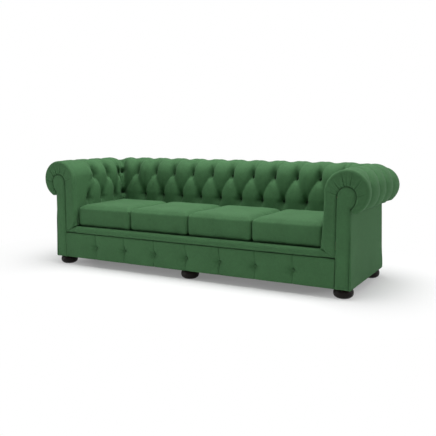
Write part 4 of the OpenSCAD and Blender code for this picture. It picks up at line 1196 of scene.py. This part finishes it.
def seat_cushions():
    """Four box cushions with crowned tops, blown up from plain rings by a cloth simulation."""
    swollen = {}
    closed = {"wrap_v": True, "caps": (True, True)}
    for i in range(1, 5):
        low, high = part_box("seat_cushion_%d" % i)
        middle = np.array([(low.x + high.x) / 2, (low.y + high.y) / 2, low.z])
        hx, hy = (high.x - low.x) / 2 - CUSHION_CLEAR, (high.y - low.y) / 2 - CUSHION_CLEAR
        name, top = "seat_cushion_cover_%d" % i, low.z + CUSHION_T
        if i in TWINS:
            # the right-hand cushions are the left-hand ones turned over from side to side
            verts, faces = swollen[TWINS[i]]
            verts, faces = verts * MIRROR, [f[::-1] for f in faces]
        else:
            pts = cushion_rings(hx, hy, SWELL_T + 0.001 * (i - 1), START_CROWN)
            swollen[i] = swell(grid_object("start_cushion_%d" % i, pts, cloth, **closed), hx, hy)
            verts, faces = swollen[i]
        obj = swollen_cover(name, uneven_top(verts + middle, top, i), faces)
        put(obj, "cushion_%d" % i, "upholstery", "seat_cushion_%d" % i, fill=0.85)


seat_cushions()


# Frame pieces that keep their shape ------------------------------------------------

FINISHES = ((softwood, ("_rail", "_upright", "_post", "corner_blocks", "webbing_ledgers")),
            (plywood, "_board"), (zinc, ("webbing_clips", "foot_bolts")),
            (black_cloth, "seat_webbing"), (stained, "_foot"))
for name, solid in nodes.items():
    for material, endings in FINISHES:
        if name.endswith(endings):
            solid.data.materials.clear()
            solid.data.materials.append(material)


# Stage -----------------------------------------------------------------------------

FLOOR_R = 14.0


def seen_by(tree, *kinds):
    """1 for rays of the two kinds and 0 for the others."""
    path = add(tree, "LightPath")
    seen = add(tree, "Math", operation="MAXIMUM")
    for kind, place in zip(kinds, seen.inputs):
        tree.links.new(path.outputs[kind], place)
    return seen.outputs[0]


def mixed(tree, output, share, *shaders):
    """Ends the tree in output, with two shaders mixed by share."""
    mixer = add(tree, "MixShader")
    for source, place in zip([share] + [s.outputs[0] for s in shaders], mixer.inputs):
        tree.links.new(source, place)
    tree.links.new(mixer.outputs[0], add(tree, output).inputs[0])


def floor_and_world():
    """Pale floor that goes over to plain white for the camera far from the sofa, and soft light. Near the
    sofa it still glows at a fifth for the camera and in reflections, painted light that lightens the sofa's
    shadow on it.
    """
    mesh = bpy.data.meshes.new("studio_floor")
    corners = [(sx * FLOOR_R, sy * FLOOR_R, 0) for sx, sy in ((-1, -1), (1, -1), (1, 1), (-1, 1))]
    mesh.from_pydata(corners, [], [[0, 1, 2, 3]])
    m = bpy.data.materials.new("white_floor")
    m.use_nodes = True
    t = m.node_tree
    t.nodes.clear()
    scale = add(t, "VectorMath", {1: (0.62, 1.0, 1.0)}, operation="MULTIPLY")
    length = add(t, "VectorMath", operation="LENGTH")
    # painted light: the floor's own glow, a fifth near the sofa, lifts the sofa's shadow before it goes over
    # to white
    fade = add(t, "MapRange", {"From Min": 0.60, "From Max": 1.30, "To Min": 0.2, "To Max": 1.0})
    both = add(t, "Math", operation="MULTIPLY")
    for source, target in ((add(t, "NewGeometry").outputs["Position"], scale.inputs[0]),
                           (scale.outputs[0], length.inputs[0]),
                           (length.outputs["Value"], fade.inputs["Value"]),
                           (fade.outputs[0], both.inputs[0]),
                           (seen_by(t, "Is Camera Ray", "Is Glossy Ray"), both.inputs[1])):
        t.links.new(source, target)
    mixed(t, "OutputMaterial", both.outputs[0], add(t, "BsdfDiffuse", {"Color": (0.86, 0.86, 0.86, 1)}),
          add(t, "Emission", {"Color": (1, 1, 1, 1), "Strength": 1.0}))
    mesh.materials.append(m)
    show("studio_floor", mesh)

    world = bpy.data.worlds.new("studio")
    bpy.context.scene.world = world
    world.use_nodes = True
    t = world.node_tree
    t.nodes.clear()
    mixed(t, "OutputWorld", seen_by(t, "Is Camera Ray", "Is Transmission Ray"),
          add(t, "Background", {"Color": (0.97, 0.99, 1, 1), "Strength": 0.29}),
          add(t, "Background", {"Color": (1, 1, 1, 1), "Strength": 1.0}))


def lamp(name, place, aim, size, energy):
    data = bpy.data.lights.new(name, "AREA")
    data.shape = "RECTANGLE"
    data.size, data.size_y = size
    data.energy = energy
    obj = show(name, data)
    obj.location = place
    obj.rotation_euler = (Vector(aim) - Vector(place)).to_track_quat("-Z", "Y").to_euler()


floor_and_world()
lamp("top_soft_box", (0.1, 0.10, 3.6), (0, 0.0, 0.3), (3.4, 2.8), 167)
lamp("front_fill", (-4.2, -3.2, 1.1), (0, -0.3, 0.35), (1.6, 1.4), 42)
lamp("right_fill", (4.0, 0.7, 1.9), (1.0, 0.1, 0.45), (1.8, 1.4), 34)

camera_data = bpy.data.cameras.new("photo_camera")
camera_data.sensor_width = 36
camera_data.lens = 51.226
camera = show("photo_camera", camera_data)
camera.location = (2.056, -3.751, 0.940)
camera.rotation_euler = (math.radians(90 - 7.85), 0, math.radians(28.56))
bpy.context.scene.camera = camera
bpy.context.scene.view_settings.view_transform = "Standard"
